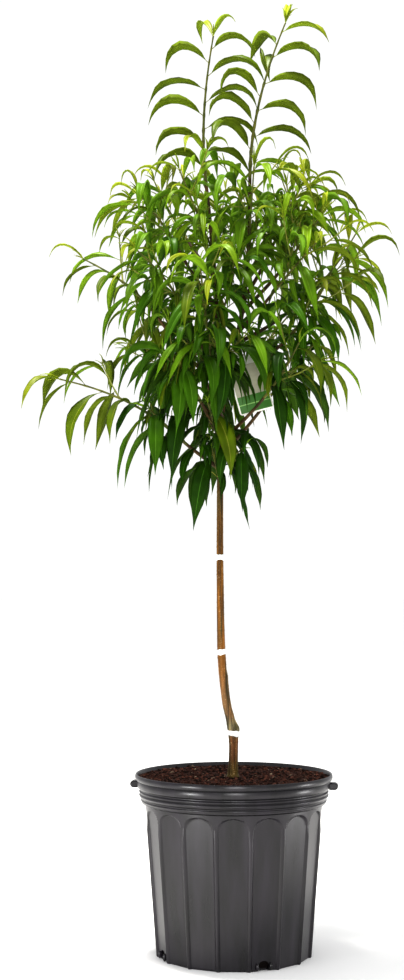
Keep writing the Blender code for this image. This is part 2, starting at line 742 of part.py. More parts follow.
def grow_leaves(name, limb, lines, crowd):
    # A spiral of leaves on each twig, youngest and smallest at its tip
    leaves = []
    leader = name.startswith("leader")
    spacing = LEADER_SPACING if leader else LEAF_SPACING
    step_turn = LEADER_TURN if leader else LEAF_TURN
    for number, (line, width) in enumerate(lines):
        total = line_lengths(line)[-1]
        first = FIRST_TWIG_LEAF if number else FIRST_SHOOT_LEAF
        count = int((total - first) / spacing) + 1
        for k in range(count + 1):
            dice = random.Random(f"{name}-{number}-leaf-{k}")
            distance = min(total - 0.001, first + k * spacing)
            root, run = along(line, distance)
            height = min(1.0, max(0.0, (root.z - CROWN_FLOOR) / (CROWN_TOP - CROWN_FLOOR)))
            youth = max(0.0, 1 - (count - k) / YOUNG_LEAVES) * blend(YOUNG_LOW, 1.0, height)
            size = limb.size * (1 - YOUNG_SHRINK * youth) * dice.uniform(*SIZE_VARIES)
            outward = Vector((root.x - AXIS_DRIFT, root.y, 0.0)) / CROWN_RADIUS
            light = min(1.0, height + OUTER_LIGHT * max(0.0, outward.length - OUTER_FROM))
            fold = blend(SHADE_FOLD, SUN_FOLD, light)
            for attempt in range(LEAF_TRIES):
                turn = limb.turn + number * TWIG_LEAF_TURN + k * step_turn
                turn += dice.uniform(-LEAF_JITTER, LEAF_JITTER) * (1 + attempt)
                opening = LEAF_OPENING * (1 - YOUNG_CLOSES * youth) * dice.uniform(*OPENING_VARIES)
                heading = aim(run, opening, turn) + UP * (REACH_UP * light - HANG)
                heading = unit(heading + outward * OUTWARD_PULL)
                length = LEAF_LENGTH * size * (1 - TRY_SHRINK * attempt)
                droop = DROOP[0] + DROOP[1] * light + DROOP[2] * youth
                droop *= dice.uniform(*DROOP_VARIES)
                power = DROOP_POWER[0] + DROOP_POWER[1] * light + DROOP_POWER[2] * leader
                roll = dice.uniform(-1, 1) * blend(*LEAF_ROLL, light)
                sway = dice.uniform(-LEAF_SWAY, LEAF_SWAY)
                half_width = LEAF_HALF_WIDTH * size ** WIDTH_POWER * dice.uniform(*WIDTH_VARIES)
                leaf = bend_leaf(root, heading, length, half_width, droop, power, roll, sway, fold)
                if distance_to_line(leaf.places[-1], lines[0][0]) > SHOOT_ROOM:
                    continue
                if leaf.places[-1].z < LOWEST_LEAF:
                    continue
                verts, faces = leaf_air(leaf)
                stalk = box_round(root, stalk_end(leaf), AIR)
                if crowd.touched_by(verts, faces) or crowd.touched_by(*stalk, skip=(name,)):
                    continue
                crowd.add(name, verts, faces)
                crowd.add(name, *stalk)
                leaves.append(leaf)
                break
    return leaves


def fuse(name, lines, leaves, collection, tree):
    # One union of the shoot with its twigs and leaves, which are then removed. EXACT leaves
    # open edges where so many leaves meet the stems at small angles, so this is MANIFOLD.
    shoot, radii = lines[0]
    base = tube(name, shoot, radii, tree, 3)
    for k, (line, width) in enumerate(lines[1:]):
        tube(f"{name}_twig_{k}", line, width, collection, 3)
    for k, leaf in enumerate(leaves):
        verts, faces = loft(leaf_rings(leaf))
        mesh = bpy.data.meshes.new(f"{name}_leaf_{k}")
        mesh.from_pydata(verts, [], faces)
        new_object(mesh.name, mesh, collection)
    apply_boolean(base, "UNION", collection=collection, solver="MANIFOLD")
    for thing in list(collection.objects):
        drop_object(thing)
    return base


def make_bough(name, limb, parent, collection, cutters):
    # One tapering limb from its parent to where its leafy shoot takes over
    tip = Vector(limb.bough_tip)
    leader = name.startswith("leader")
    if limb.at is None:
        run = unit(parent.points[-1] - parent.points[-2])
        start = parent.points[-1] + run * CLEARANCE
        control = start + run * (tip - start).length / 2
    else:
        start, radius = stem_at(parent, limb.at)
        reach = tip - start
        across, rise = LEADER_BEND if leader else BOUGH_BEND
        control = start + Vector((reach.x * across, reach.y * across, reach.z * rise))
    count = LEADER_POINTS if leader else BOUGH_POINTS
    line = bezier(start, control, tip, count)
    stem = Stem(line, taper(*(LEADER_RADII if leader else BOUGH_RADII), count))
    bough = tube("bough_" + name, stem.points, stem.radii, collection, 6)
    if limb.at is not None:
        cut_round(bough, parent, cutters)
    return bough, stem


def make_shoot(limb, stem, parent):
    # The leafy shoot goes on from its bough's tip, or starts in the middle of its parent
    tip = Vector(limb.shoot_tip)
    if limb.bough_tip:
        heading = unit(stem.points[-1] - stem.points[-2])
        line = shoot_line(stem.points[-1] + heading * CLEARANCE, heading, tip)
    else:
        start, radius = stem_at(parent, limb.at)
        line = shoot_line(start, unit(tip - start), tip)
    return Stem(line, taper(*SHOOT_RADII, len(line)))


def main():
    for thing in list(bpy.data.objects):
        bpy.data.objects.remove(thing)
    tree = bpy.data.collections.new("potted_peach_tree")
    bpy.context.scene.collection.children.link(tree)
    loose = bpy.data.collections.new("loose_leaves")
    bpy.context.scene.collection.children.link(loose)

    pot_black = paint("black_plastic", (0.060, 0.058, 0.060), 0.45)
    mix_brown = paint("bark_mix", (0.045, 0.018, 0.012), 0.95)
    bark = paint("bark", (0.160, 0.085, 0.020), 0.80)
    tape_white = paint("white_tape", (0.800, 0.800, 0.780), 0.55)
    card_grey = paint("tag_card", (0.550, 0.560, 0.500), 0.50)
    green = paint("leaf_green", (0.075, 0.160, 0.020), 0.45)

    make_pot(tree).data.materials.append(pot_black)
    make_mix(tree).data.materials.append(mix_brown)

    rows = trunk_rows()
    trunk = Stem([Vector((drift, 0.0, height)) for height, drift, radius in rows],
                 [radius for height, drift, radius in rows])
    trunk_solid = tube("trunk", trunk.points, trunk.radii, tree, 8)
    trunk_solid.data.materials.append(bark)
    for k, height in enumerate(TAPE_HEIGHTS):
        tape = make_tape(f"tape_{k + 1}", height, trunk, tree, loose)
        tape.data.materials.append(tape_white)

    crowd = Crowd()
    crowd.add_object("trunk", trunk_solid)
    stems = {"trunk": trunk}
    shoots = {}
    for name, limb in LIMBS.items():
        if limb.bough_tip:
            bough, stems[name] = make_bough(name, limb, stems[limb.parent], tree, loose)
            bough.data.materials.append(bark)
            crowd.add_object("bough_" + name, bough)
        shoots[name] = make_shoot(limb, stems.get(name), stems[limb.parent])
    tag = make_tag(stems["leader_right"], tree, loose)
    tag.data.materials.append(card_grey)
    crowd.add_object("tag", tag)

    for name, shoot in shoots.items():
        for start, end, radius in zip(shoot.points, shoot.points[1:], shoot.radii):
            crowd.add(name, *box_round(start, end, radius))
    twigs = {}
    for name, limb in LIMBS.items():
        twigs[name] = grow_twigs(name, limb, shoots[name], crowd)
        for line, width in twigs[name][1:]:
            start = line[0].lerp(line[-1], TWIG_CLEAR)
            crowd.add(name, *box_round(start, line[-1], TWIG_RADII[0]))
    for name, limb in LIMBS.items():
        leaves = grow_leaves(name, limb, twigs[name], crowd)
        mass = fuse("leaves_" + name, twigs[name], leaves, loose, tree)
        if limb.bough_tip:
            keep_main_body(mass.data)
        else:
            cut_round(mass, stems[limb.parent], loose)
        mass.data.materials.clear()
        mass.data.materials.append(green)
    bpy.data.collections.remove(loose)


main()
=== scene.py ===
import json
import math
import random
from collections import namedtuple

import bpy
import numpy as np
from mathutils import Matrix, Vector, noise
from mathutils.bvhtree import BVHTree

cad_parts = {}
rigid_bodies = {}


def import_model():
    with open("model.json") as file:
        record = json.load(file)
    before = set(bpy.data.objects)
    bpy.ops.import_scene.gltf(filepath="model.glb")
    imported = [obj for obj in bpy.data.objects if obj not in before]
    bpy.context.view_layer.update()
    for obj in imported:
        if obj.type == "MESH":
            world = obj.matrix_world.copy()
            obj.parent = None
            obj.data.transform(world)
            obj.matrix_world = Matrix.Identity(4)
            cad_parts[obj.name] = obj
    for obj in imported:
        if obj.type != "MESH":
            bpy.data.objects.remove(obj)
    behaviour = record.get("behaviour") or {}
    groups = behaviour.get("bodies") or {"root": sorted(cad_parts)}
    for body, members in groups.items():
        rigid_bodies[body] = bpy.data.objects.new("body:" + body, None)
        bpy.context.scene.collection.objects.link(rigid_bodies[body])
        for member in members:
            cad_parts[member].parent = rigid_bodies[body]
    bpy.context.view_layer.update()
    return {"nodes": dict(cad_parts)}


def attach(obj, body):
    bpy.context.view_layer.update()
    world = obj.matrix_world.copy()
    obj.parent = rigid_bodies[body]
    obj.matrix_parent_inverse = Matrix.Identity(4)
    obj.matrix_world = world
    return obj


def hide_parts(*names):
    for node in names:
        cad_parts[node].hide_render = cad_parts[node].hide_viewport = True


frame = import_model()
up = Vector((0.0, 0.0, 1.0))
print("frame loaded")

camera = dict(place=(-0.049, -2.4, 0.565), pitch=3.5, lens=56.6)  # metres, degrees, millimetres


def aimCamera():
    data = bpy.data.cameras.new("camera")
    data.lens = camera["lens"]
    data.sensor_width = 36.0
    thing = bpy.data.objects.new("camera", data)
    bpy.context.scene.collection.objects.link(thing)
    thing.location = camera["place"]
    thing.rotation_euler = (math.radians(90 + camera["pitch"]), 0.0, 0.0)
    bpy.context.scene.camera = thing


studio = dict(
    floorRadius=60.0, floorHex="#fcfcfc", worldHex="#ffffff", worldStrength=1.04, gamma=0.82,
    # each light: where it stands, its size in metres, its power in watts and its colour
    lights={
        "overhead_softbox": ((-0.40, 0.02, 3.3), 0.32, 156.0, "#fffcf6"),
        "left_softbox": ((-1.15, -1.00, 0.15), 0.30, 10.5, "#ffffff"),
        "front_softbox": ((0.10, -3.9, 0.90), 0.8, 52.0, "#ffffff"),
        "right_softbox": ((1.30, -0.10, 0.12), 0.20, 5.0, "#ffffff"),
    },
    lookAt=(0.0, 0.0, 0.75),
)


def hexColour(code):
    # An sRGB hex value as linear numbers
    values = [int(code[k:k + 2], 16) / 255 for k in (1, 3, 5)]
    return (*(v / 12.92 if v <= 0.04045 else ((v + 0.055) / 1.055) ** 2.4 for v in values), 1.0)


def newMaterial(name):
    material = bpy.data.materials.new(name)
    material.use_nodes = True
    tree = material.node_tree
    return material, tree, tree.nodes["Principled BSDF"]


def setSockets(tree, node, sockets):
    # Inputs given as numbers or as another node's output
    for key, value in sockets.items():
        if isinstance(value, bpy.types.NodeSocket):
            tree.links.new(value, node.inputs[key])
        else:
            node.inputs[key].default_value = value


def addNode(tree, kind, sockets=None, **settings):
    # A node with its settings and its inputs
    node = tree.nodes.new(kind)
    for key, value in settings.items():
        setattr(node, key, value)
    setSockets(tree, node, sockets or {})
    return node


def setStops(ramp, stops):
    # Places and hex colours along a colour ramp
    elements = ramp.color_ramp.elements
    while len(elements) < len(stops):
        elements.new(0.5)
    for element, (place, code) in zip(elements, stops):
        element.position = place
        element.color = hexColour(code)


def lightStudio():
    world = bpy.data.worlds.new("white_studio")
    world.use_nodes = True
    sky = world.node_tree.nodes["Background"]
    sky.inputs["Color"].default_value = hexColour(studio["worldHex"])
    sky.inputs["Strength"].default_value = studio["worldStrength"]
    bpy.context.scene.world = world
    view = bpy.context.scene.view_settings
    view.view_transform = "Standard"  # white stays white, as in a catalogue photograph
    view.gamma = studio["gamma"]      # and the darks are printed deep
    for name, (place, size, power, code) in studio["lights"].items():
        lamp = bpy.data.lights.new(name, "AREA")
        lamp.size = size
        lamp.energy = power
        lamp.color = hexColour(code)[:3]
        thing = bpy.data.objects.new(name, lamp)
        bpy.context.scene.collection.objects.link(thing)
        thing.location = place
        run = Vector(studio["lookAt"]) - Vector(place)
        thing.rotation_euler = run.to_track_quat("-Z", "Y").to_euler()
    bpy.ops.mesh.primitive_circle_add(vertices=96, radius=studio["floorRadius"], fill_type="NGON")
    floor = bpy.context.active_object
    floor.name = "studio_floor"
    material, tree, shader = newMaterial("matt_white_paint")  # a plain painted studio floor
    setSockets(tree, shader, {"Base Color": hexColour(studio["floorHex"]), "Roughness": 0.9})
    floor.data.materials.append(material)


aimCamera()
lightStudio()
print("camera, lights and floor")


def unit(vector):
    return vector.normalized()


def ease(low, high, value):
    # 0 below low, 1 above high, smooth in between
    t = min(1.0, max(0.0, (value - low) / (high - low)))
    return t * t * (3 - 2 * t)


def blend(first, last, share):
    return first + (last - first) * share


def around(radius, angle, height):
    return Vector((radius * math.cos(angle), radius * math.sin(angle), height))


def spline(rows, place):
    # Catmull-Rom through rows of numbers; place counts in rows
    last = len(rows) - 1
    k = min(int(place), last - 1)
    t = place - k
    before, here, there, after = (rows[min(max(j, 0), last)] for j in (k - 1, k, k + 1, k + 2))
    return [0.5 * (2 * b + (c - a) * t + (2 * a - 5 * b + 4 * c - d) * t * t
                   + (3 * b - a - 3 * c + d) * t ** 3)
            for a, b, c, d in zip(before, here, there, after)]


class Pile:
    # Gathers small shapes into one mesh; each face has a material number, each point a UV place
    def __init__(self):
        self.points, self.faces, self.kinds, self.places = [], [], [], []

    def add(self, points, faces, kinds, places=None):
        start = len(self.points)
        self.points += points
        self.faces += [tuple(start + k for k in face) for face in faces]
        self.kinds += kinds if isinstance(kinds, list) else [kinds] * len(faces)
        self.places += places or [(0.5, 0.5)] * len(points)

    def build(self, name, materials, slotName, replaced, smooth=True):
        mesh = bpy.data.meshes.new(name)
        mesh.from_pydata(self.points, [], self.faces)
        corners = np.empty(len(mesh.loops), dtype=np.int32)
        mesh.loops.foreach_get("vertex_index", corners)
        layer = mesh.uv_layers.new(name="places")
        layer.data.foreach_set("uv", np.array(self.places, dtype=np.float32)[corners].ravel())
        for material in materials:
            mesh.materials.append(material)
        mesh.polygons.foreach_set("material_index", self.kinds)
        mesh.polygons.foreach_set("use_smooth", [smooth] * len(mesh.polygons))
        mesh.update()
        piece = bpy.data.objects.new(name, mesh)
        bpy.context.scene.collection.objects.link(piece)
        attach(piece, "root")
        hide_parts(*replaced)
        return piece


def gridFaces(rows, columns, wrapped=True):
    # Quads between rows of points, each row running once round
    faces = []
    for k in range(rows - 1):
        for j in range(columns if wrapped else columns - 1):
            n = (j + 1) % columns
            faces.append((k * columns + j, k * columns + n, (k + 1) * columns + n, (k + 1) * columns + j))
    return faces


def capFaces(centre, start, count, flipped=False):
    # Triangles from a ring of points to the point in its middle
    ring = [(start + j, start + (j + 1) % count) for j in range(count)]
    return [(centre, b, a) if flipped else (centre, a, b) for a, b in ring]


pot = dict(
    # radius and height of the outside, from the lip down, then of the inside, from the floor up
    lip=[(0.1495, 0.2741), (0.1502, 0.2745), (0.1510, 0.2743), (0.1516, 0.2737), (0.1520, 0.2724),
         (0.1523, 0.2706), (0.1523, 0.2690), (0.1520, 0.2672), (0.1512, 0.2660), (0.1486, 0.2652),
         (0.1480, 0.2642)],
    collar=[(0.1484, 0.2630), (0.1487, 0.2618), (0.1488, 0.2590), (0.1486, 0.2550), (0.1478, 0.2536),
            (0.1454, 0.2526), (0.1446, 0.2514)],
    neck=[(0.1445, 0.2400), (0.1441, 0.2386), (0.1428, 0.2377), (0.1423, 0.2368)],
    step=[(0.1420, 0.2320), (0.1415, 0.2306), (0.1380, 0.2293), (0.1362, 0.2282)],
    wallTop=(0.1362, 0.2282), wallFoot=(0.1182, 0.0030),
    foot=[(0.1183, 0.0030), (0.1180, 0.0012), (0.1168, 0.0)], underside=0.1090, floor=0.0035,
    inside=[(0.1130, 0.0035), (0.1327, 0.2300), (0.1452, 0.2610), (0.1486, 0.2722), (0.1490, 0.2735)],
    # the mesh: spacing of the rows at the rings and at the arches, and the number of rows down the wall
    ringRow=0.0005, archRow=0.0008, archRows=26, wallRows=14, wallLow=0.0045, sharpAngle=38.0,
    # the rings moulded round the collar: height, how proud, half their width
    rings=[(0.2478, 0.0014, 0.0022), (0.2424, 0.0014, 0.0022), (0.2345, 0.0010, 0.0018)],
    panels=16, panelHalfAngle=10.0, archTop=0.2240, archRise=0.0165, crease=0.0016, creaseWidth=0.0014,
    notchBearings=(-69.0, 21.0, 111.0, 201.0), notchSize=(0.0160, 0.0150, 0.0160), notchRise=0.0060,
    nubSize=0.0026, nubDepth=0.0030, nubProud=0.0002, nubMiddle=0.42, nubReach=0.38,
    panelTurn=-91.5, bead=0.0018, beadFade=0.012,
    lugAt=(0.1605, 0.2565), lugSize=(0.0135, 0.0180, 0.0104), lugBearings=(-6.0, 174.0), lugSteps=12,
    lugEnds=((-1.0, 0.0016), (-0.955, 0.0005), (-0.88, 0.0), (0.88, 0.0), (0.955, 0.0005), (1.0, 0.0016)),
    # black, the bloom's scuff, and the painted shade of the collar's grooves
    black="#0a080b", scuff="#201c23", grooveShadeHex="#08070a",
    # painted shade laid in the grooves of the collar: height and half width
    grooves=[(0.2645, 0.0012), (0.2524, 0.0014), (0.2451, 0.0007), (0.2385, 0.0010), (0.2294, 0.0016)],
)


def wallRadius(height):
    (topRadius, topHeight), (footRadius, footHeight) = pot["wallTop"], pot["wallFoot"]
    share = (height - footHeight) / (topHeight - footHeight)
    return blend(footRadius, topRadius, share)


def panelReach():
    # How far out the middle of a panel is at the foot
    return pot["wallFoot"][0] * math.cos(math.radians(pot["panelHalfAngle"]))


def panelDepth(angle, height):
    # How far the wall's arched panels are sunk: flat faces with a crease along their edge
    pitch = math.tau / pot["panels"]
    offset = (angle - math.radians(pot["panelTurn"]) + pitch / 2) % pitch - pitch / 2
    radius = wallRadius(height)
    half = math.radians(pot["panelHalfAngle"])
    across, reach = abs(offset) * radius, half * radius
    spring = pot["archTop"] - pot["archRise"]
    if height < spring:
        inside = reach - across
    else:
        inside = (1 - math.hypot(across / reach, (height - spring) / pot["archRise"])) * pot["archRise"]
    if inside <= 0:
        rib = (pitch / 2 - half) * radius
        fade = ease(0.0, pot["beadFade"], spring - height)
        return -pot["bead"] * max(0.0, 1 - (1 + inside / rib) ** 2) * fade
    flat = max(0.0, radius - radius * math.cos(half) / math.cos(offset))
    return ease(0.0, pot["creaseWidth"], inside) * (flat + pot["crease"])


def potAngles():
    # Columns round the pot, closer together at the ribs between the panels
    offsets = [-10.0, -9.4, -8.6, -7.6, -6.6, -5.5, -4.4, -3.3, -2.2, -1.1, 0.0]
    offsets += [-value for value in reversed(offsets[:-1])] + [10.35, 10.8, 11.25, 11.7, 12.15]
    return [math.radians(k * 360 / pot["panels"] + pot["panelTurn"] + offset)
            for k in range(pot["panels"]) for offset in offsets]


def blackPolypropylene():
    # Polypropylene moulded in a polished tool: black with a satin gloss, and a bloom rubbed on in
    # upright streaks where pots were stacked; the grooves of the collar are painted darker and less glossy,
    # as painted shade
    material, tree, shader = newMaterial("moulded_black_polypropylene")
    where = addNode(tree, "ShaderNodeTexCoord").outputs["Object"]
    rubbed = addNode(tree, "ShaderNodeMapping", {"Vector": where, "Scale": (42.0, 42.0, 5.0)})
    bloom = addNode(tree, "ShaderNodeTexNoise", {"Vector": rubbed.outputs["Vector"], "Scale": 1.0,
                                                 "Detail": 4.0, "Roughness": 0.6})
    ramp = addNode(tree, "ShaderNodeValToRGB", {"Fac": bloom.outputs["Fac"]})
    setStops(ramp, [(0.36, pot["black"]), (0.66, pot["scuff"])])
    height = addNode(tree, "ShaderNodeSeparateXYZ", {"Vector": where}).outputs["Z"]
    # painted shade: a mask of the collar's grooves, where the colour is darkened and the gloss lowered
    grooveShade = None
    for at, half in pot["grooves"]:
        off = addNode(tree, "ShaderNodeMath", {0: height, 1: at}, operation="SUBTRACT")
        near = addNode(tree, "ShaderNodeMath", {0: off.outputs["Value"]}, operation="ABSOLUTE")
        mask = addNode(tree, "ShaderNodeMapRange", {"Value": near.outputs["Value"], "From Min": half * 0.4,
                                                    "From Max": half, "To Min": 1.0, "To Max": 0.0})
        if grooveShade:
            grooveShade = addNode(tree, "ShaderNodeMath", {0: grooveShade, 1: mask.outputs["Result"]},
                           operation="MAXIMUM").outputs["Value"]
        else:
            grooveShade = mask.outputs["Result"]
    tone = addNode(tree, "ShaderNodeMix", {"Factor": grooveShade, 6: ramp.outputs["Color"],
                                           7: hexColour(pot["grooveShadeHex"])}, data_type="RGBA")
    shine = addNode(tree, "ShaderNodeMapRange", {"Value": grooveShade, "To Min": 0.5, "To Max": 0.22})
    gloss = addNode(tree, "ShaderNodeMapRange", {"Value": bloom.outputs["Fac"], "To Min": 0.22,
                                                 "To Max": 0.38})
    # a grain of 1 mm
    grain = addNode(tree, "ShaderNodeTexNoise", {"Vector": where, "Scale": 900.0, "Detail": 2.0})
    relief = addNode(tree, "ShaderNodeBump", {"Height": grain.outputs["Fac"], "Strength": 0.12,
                                              "Distance": 0.0002})
    setSockets(tree, shader, {"Base Color": tone.outputs[2], "Specular IOR Level": shine.outputs["Result"],
                              "Roughness": gloss.outputs["Result"], "Normal": relief.outputs["Normal"],
                              "IOR": 1.49})
    return material


def arch(halfWidth, bottom, top, rise, steps=10):
    points = [(-halfWidth, bottom), (halfWidth, bottom)]
    for k in range(steps + 1):
        angle = math.pi * k / steps
        points.append((halfWidth * math.cos(angle), top - rise + rise * math.sin(angle)))
    return points


def prism(outline, near, far):
    # A flat outline pushed out between two depths, as points and faces
    count = len(outline)
    points = [Vector((x, y, depth)) for depth in (near, far) for x, y in outline]
    faces = [tuple(reversed(range(count))), tuple(range(count, 2 * count))]
    faces += [(k, (k + 1) % count, count + (k + 1) % count, count + k) for k in range(count)]
    return points, faces


def standUp(bearing):
    # Turns a flat outline upright: X runs round the pot, Y up and Z outward
    turn = Matrix.Rotation(math.radians(bearing) + math.pi / 2, 4, "Z")
    return turn @ Matrix.Rotation(math.pi / 2, 4, "X")


def ball(centre, radii, axes, rings=7, sides=12):
    # A rounded lump with its own three axes
    points = [centre + axes[2] * radii[2]]
    for k in range(1, rings):
        tilt = math.pi * k / rings
        for j in range(sides):
            turn = math.tau * j / sides
            points.append(centre + axes[0] * radii[0] * math.sin(tilt) * math.cos(turn)
                          + axes[1] * radii[1] * math.sin(tilt) * math.sin(turn)
                          + axes[2] * radii[2] * math.cos(tilt))
    points.append(centre - axes[2] * radii[2])
    end = len(points) - 1
    faces = capFaces(0, 1, sides)
    for k in range(rings - 2):
        a, b = 1 + k * sides, 1 + (k + 1) * sides
        faces += [(a + j, b + j, b + (j + 1) % sides, a + (j + 1) % sides) for j in range(sides)]
    return points, faces + capFaces(end, 1 + (rings - 2) * sides, sides, flipped=True)


def makePot():
    angles = potAngles()
    rows = pot["lip"] + pot["collar"]
    for top, bottom in ((pot["collar"][-1], pot["neck"][0]), (pot["neck"][-1], pot["step"][0])):
        count = int((top[1] - bottom[1]) / pot["ringRow"])
        for k in range(1, count):
            share = k / count
            height = blend(top[1], bottom[1], share)
            swell = sum(proud * max(0.0, 1 - ((height - at) / half) ** 2)
                        for at, proud, half in pot["rings"])
            rows.append((blend(top[0], bottom[0], share) + swell, height))
        rows += pot["neck"] if bottom == pot["neck"][0] else pot["step"]
    arches = pot["archTop"] - pot["archRise"] - 0.002
    heights = [pot["wallTop"][1] - 0.0015 - pot["archRow"] * k for k in range(pot["archRows"])]
    count = pot["wallRows"]
    heights += [arches - (arches - pot["wallLow"]) * k / count for k in range(1, count + 1)]
    wall = [(wallRadius(height), height) for height in heights] + pot["foot"]
    inner = [(pot["underside"], 0.0), (0.0, 0.0), (0.0, pot["floor"])] + pot["inside"]
    points = []
    pile = Pile()
    for part, sunk in ((rows, 0.0), (wall, 1.0), (inner, 0.0)):
        for radius, height in part:
            for angle in angles:
                own = radius - sunk * panelDepth(angle, max(height, pot["floor"]))
                points.append(around(own, angle, height))
    count = len(angles)
    last = len(points) - count
    faces = [tuple(reversed(face)) for face in gridFaces(len(points) // count, count)]
    faces += [(j, (j + 1) % count, last + (j + 1) % count, last + j) for j in range(count)]
    pile.add(points, faces, 0)
    material = blackPolypropylene()
    piece = pile.build("nursery_pot", [material], "pot_plastic", ["pot"])
    weldAndCut(piece)
    return piece


def weldAndCut(piece):
    # The middle points of the floor become one, and the drain notches are cut out of the foot
    weld = piece.modifiers.new("weld", "WELD")
    weld.merge_threshold = 0.00005
    width, height, depth = pot["notchSize"]
    cutters = []
    outline = arch(width / 2, -0.01, height, pot["notchRise"])
    for bearing in pot["notchBearings"]:
        points, faces = prism(outline, panelReach() - depth / 2, panelReach() + depth / 2)
        mesh = bpy.data.meshes.new("notch")
        mesh.from_pydata([standUp(bearing) @ point for point in points], [], faces)
        cutter = bpy.data.objects.new("notch", mesh)
        bpy.context.scene.collection.objects.link(cutter)
        cutters.append(cutter)
        cut = piece.modifiers.new("notch", "BOOLEAN")
        cut.operation = "DIFFERENCE"
        cut.solver = "EXACT"  # keeps the wall's own faces, where a quicker one leaves long slivers
        cut.object = cutter
    graph = bpy.context.evaluated_depsgraph_get()
    mesh = bpy.data.meshes.new_from_object(piece.evaluated_get(graph))
    piece.modifiers.clear()
    piece.data = mesh
    mesh.shade_smooth()
    mesh.set_sharp_from_angle(angle=math.radians(pot["sharpAngle"]))
    for cutter in cutters:
        bpy.data.objects.remove(cutter)


def makePotDetails(material):
    # Stub lugs under the lip, and the little moulded nubs beside each drain notch
    pile = Pile()
    reach, middle = pot["lugAt"]
    depth, width, thick = pot["lugSize"]
    steps, rows = pot["lugSteps"], len(pot["lugEnds"])
    for bearing in pot["lugBearings"]:
        turned = Matrix.Rotation(math.radians(bearing), 3, "Z")
        points = []
        for share, inset in pot["lugEnds"]:
            radius, aside = thick / 2 - inset, share * width / 2
            for k in range(steps + 1):
                angle = math.pi * (k / steps - 0.5)
                place = (reach - thick / 2 + radius * math.cos(angle), aside, radius * math.sin(angle))
                points.append(turned @ Vector(place) + up * middle)
            for rise in (radius, -radius):
                points.append(turned @ Vector((reach - depth, aside, rise)) + up * middle)
        count = steps + 3
        ends = [tuple(range(count)), tuple(reversed(range((rows - 1) * count, rows * count)))]
        pile.add(points, gridFaces(rows, count) + ends, 0)
    width, height, depth = pot["notchSize"]
    for bearing in pot["notchBearings"]:
        for side in (-1, 1):
            stand = standUp(bearing)
            aside = side * (width / 2 + pot["nubSize"])
            centre = stand @ Vector((aside, height * pot["nubMiddle"], panelReach() + pot["nubProud"]))
            axes = [unit(stand.to_3x3() @ Vector(axis)) for axis in ((1, 0, 0), (0, 0, 1), (0, 1, 0))]
            radii = (pot["nubSize"], pot["nubDepth"], height * pot["nubReach"])
            pile.add(*ball(centre, radii, axes), 0)
    piece = pile.build("pot_lugs_and_nubs", [material], "pot_plastic", ["pot"])
    piece.data.set_sharp_from_angle(angle=math.radians(pot["sharpAngle"]))


potPiece = makePot()
makePotDetails(potPiece.data.materials[0])
print("pot")


mix = dict(
    edge=0.2694, top=[(0.0, 0.2680), (0.0180, 0.2680), (0.0500, 0.2683), (0.0950, 0.2688)],
    gap=0.0009, lower=(0.23, 0.0038), rings=90, spokes=300, roughness=0.0014, sink=0.0006, quiet=0.012,
    # the crumbs of the surface: layer of the noise, crumbs to the metre, share
    crumbs=((0.0, 55, 0.9), (3.0, 150, 0.6), (7.0, 420, 0.35)),
    # the bits of bark: number, length, how far they stay off the wall and the trunk, and their shape
    chips=4200, chipLength=(0.0022, 0.0080), tuck=0.0007, chipClear=(0.004, 0.014), chipSmaller=2.4,
    chipWidth=(0.22, 0.42), chipHeight=(0.10, 0.24), chipTilt=0.35, chipRough=0.07,
    # the mix's own dark and light, and the painted shade for its side and underside
    earth="#1a0f0b", earthLight="#5c3b30", sideShade="#060403",
    barks=("#27170f", "#5a372c", "#855646", "#b8a088"), shares=(0.38, 0.36, 0.23, 0.03),
)


def insideRadius(height):
    for (r0, z0), (r1, z1) in zip(pot["inside"], pot["inside"][1:]):
        if height <= z1:
            return r0 + (r1 - r0) * (height - z0) / (z1 - z0)
    return pot["inside"][-1][0]


def mixHeight(x, y):
    # The mound's height, with crumbs of a few sizes
    radius = math.hypot(x, y)
    rows = mix["top"] + [(insideRadius(mix["edge"]), mix["edge"])]
    height = rows[-1][1]
    for (r0, z0), (r1, z1) in zip(rows, rows[1:]):
        if radius <= r1:
            height = z0 + (z1 - z0) * (radius - r0) / (r1 - r0)
            break
    crumbs = sum(noise.noise(Vector((x, y, layer)) * scale) * share
                 for layer, scale, share in mix["crumbs"])
    return height + mix["roughness"] * crumbs * ease(0.0, mix["quiet"], radius) - mix["sink"]


def barkMaterial(name, darker, lighter, scale, rough):
    # Composted bark, moist: matt, dark in its pores and paler on its broken faces
    material, tree, shader = newMaterial(name)
    where = addNode(tree, "ShaderNodeTexCoord").outputs["Object"]
    grain = addNode(tree, "ShaderNodeTexNoise", {"Vector": where, "Scale": scale, "Detail": 6.0,
                                                 "Roughness": 0.7})
    ramp = addNode(tree, "ShaderNodeValToRGB", {"Fac": grain.outputs["Fac"]})
    setStops(ramp, [(0.32, darker), (0.72, lighter)])
    relief = addNode(tree, "ShaderNodeBump", {"Height": grain.outputs["Fac"], "Strength": 0.5,
                                              "Distance": 0.0012})
    setSockets(tree, shader, {"Base Color": ramp.outputs["Color"], "Normal": relief.outputs["Normal"],
                              "Roughness": rough, "Specular IOR Level": 0.12})
    return material


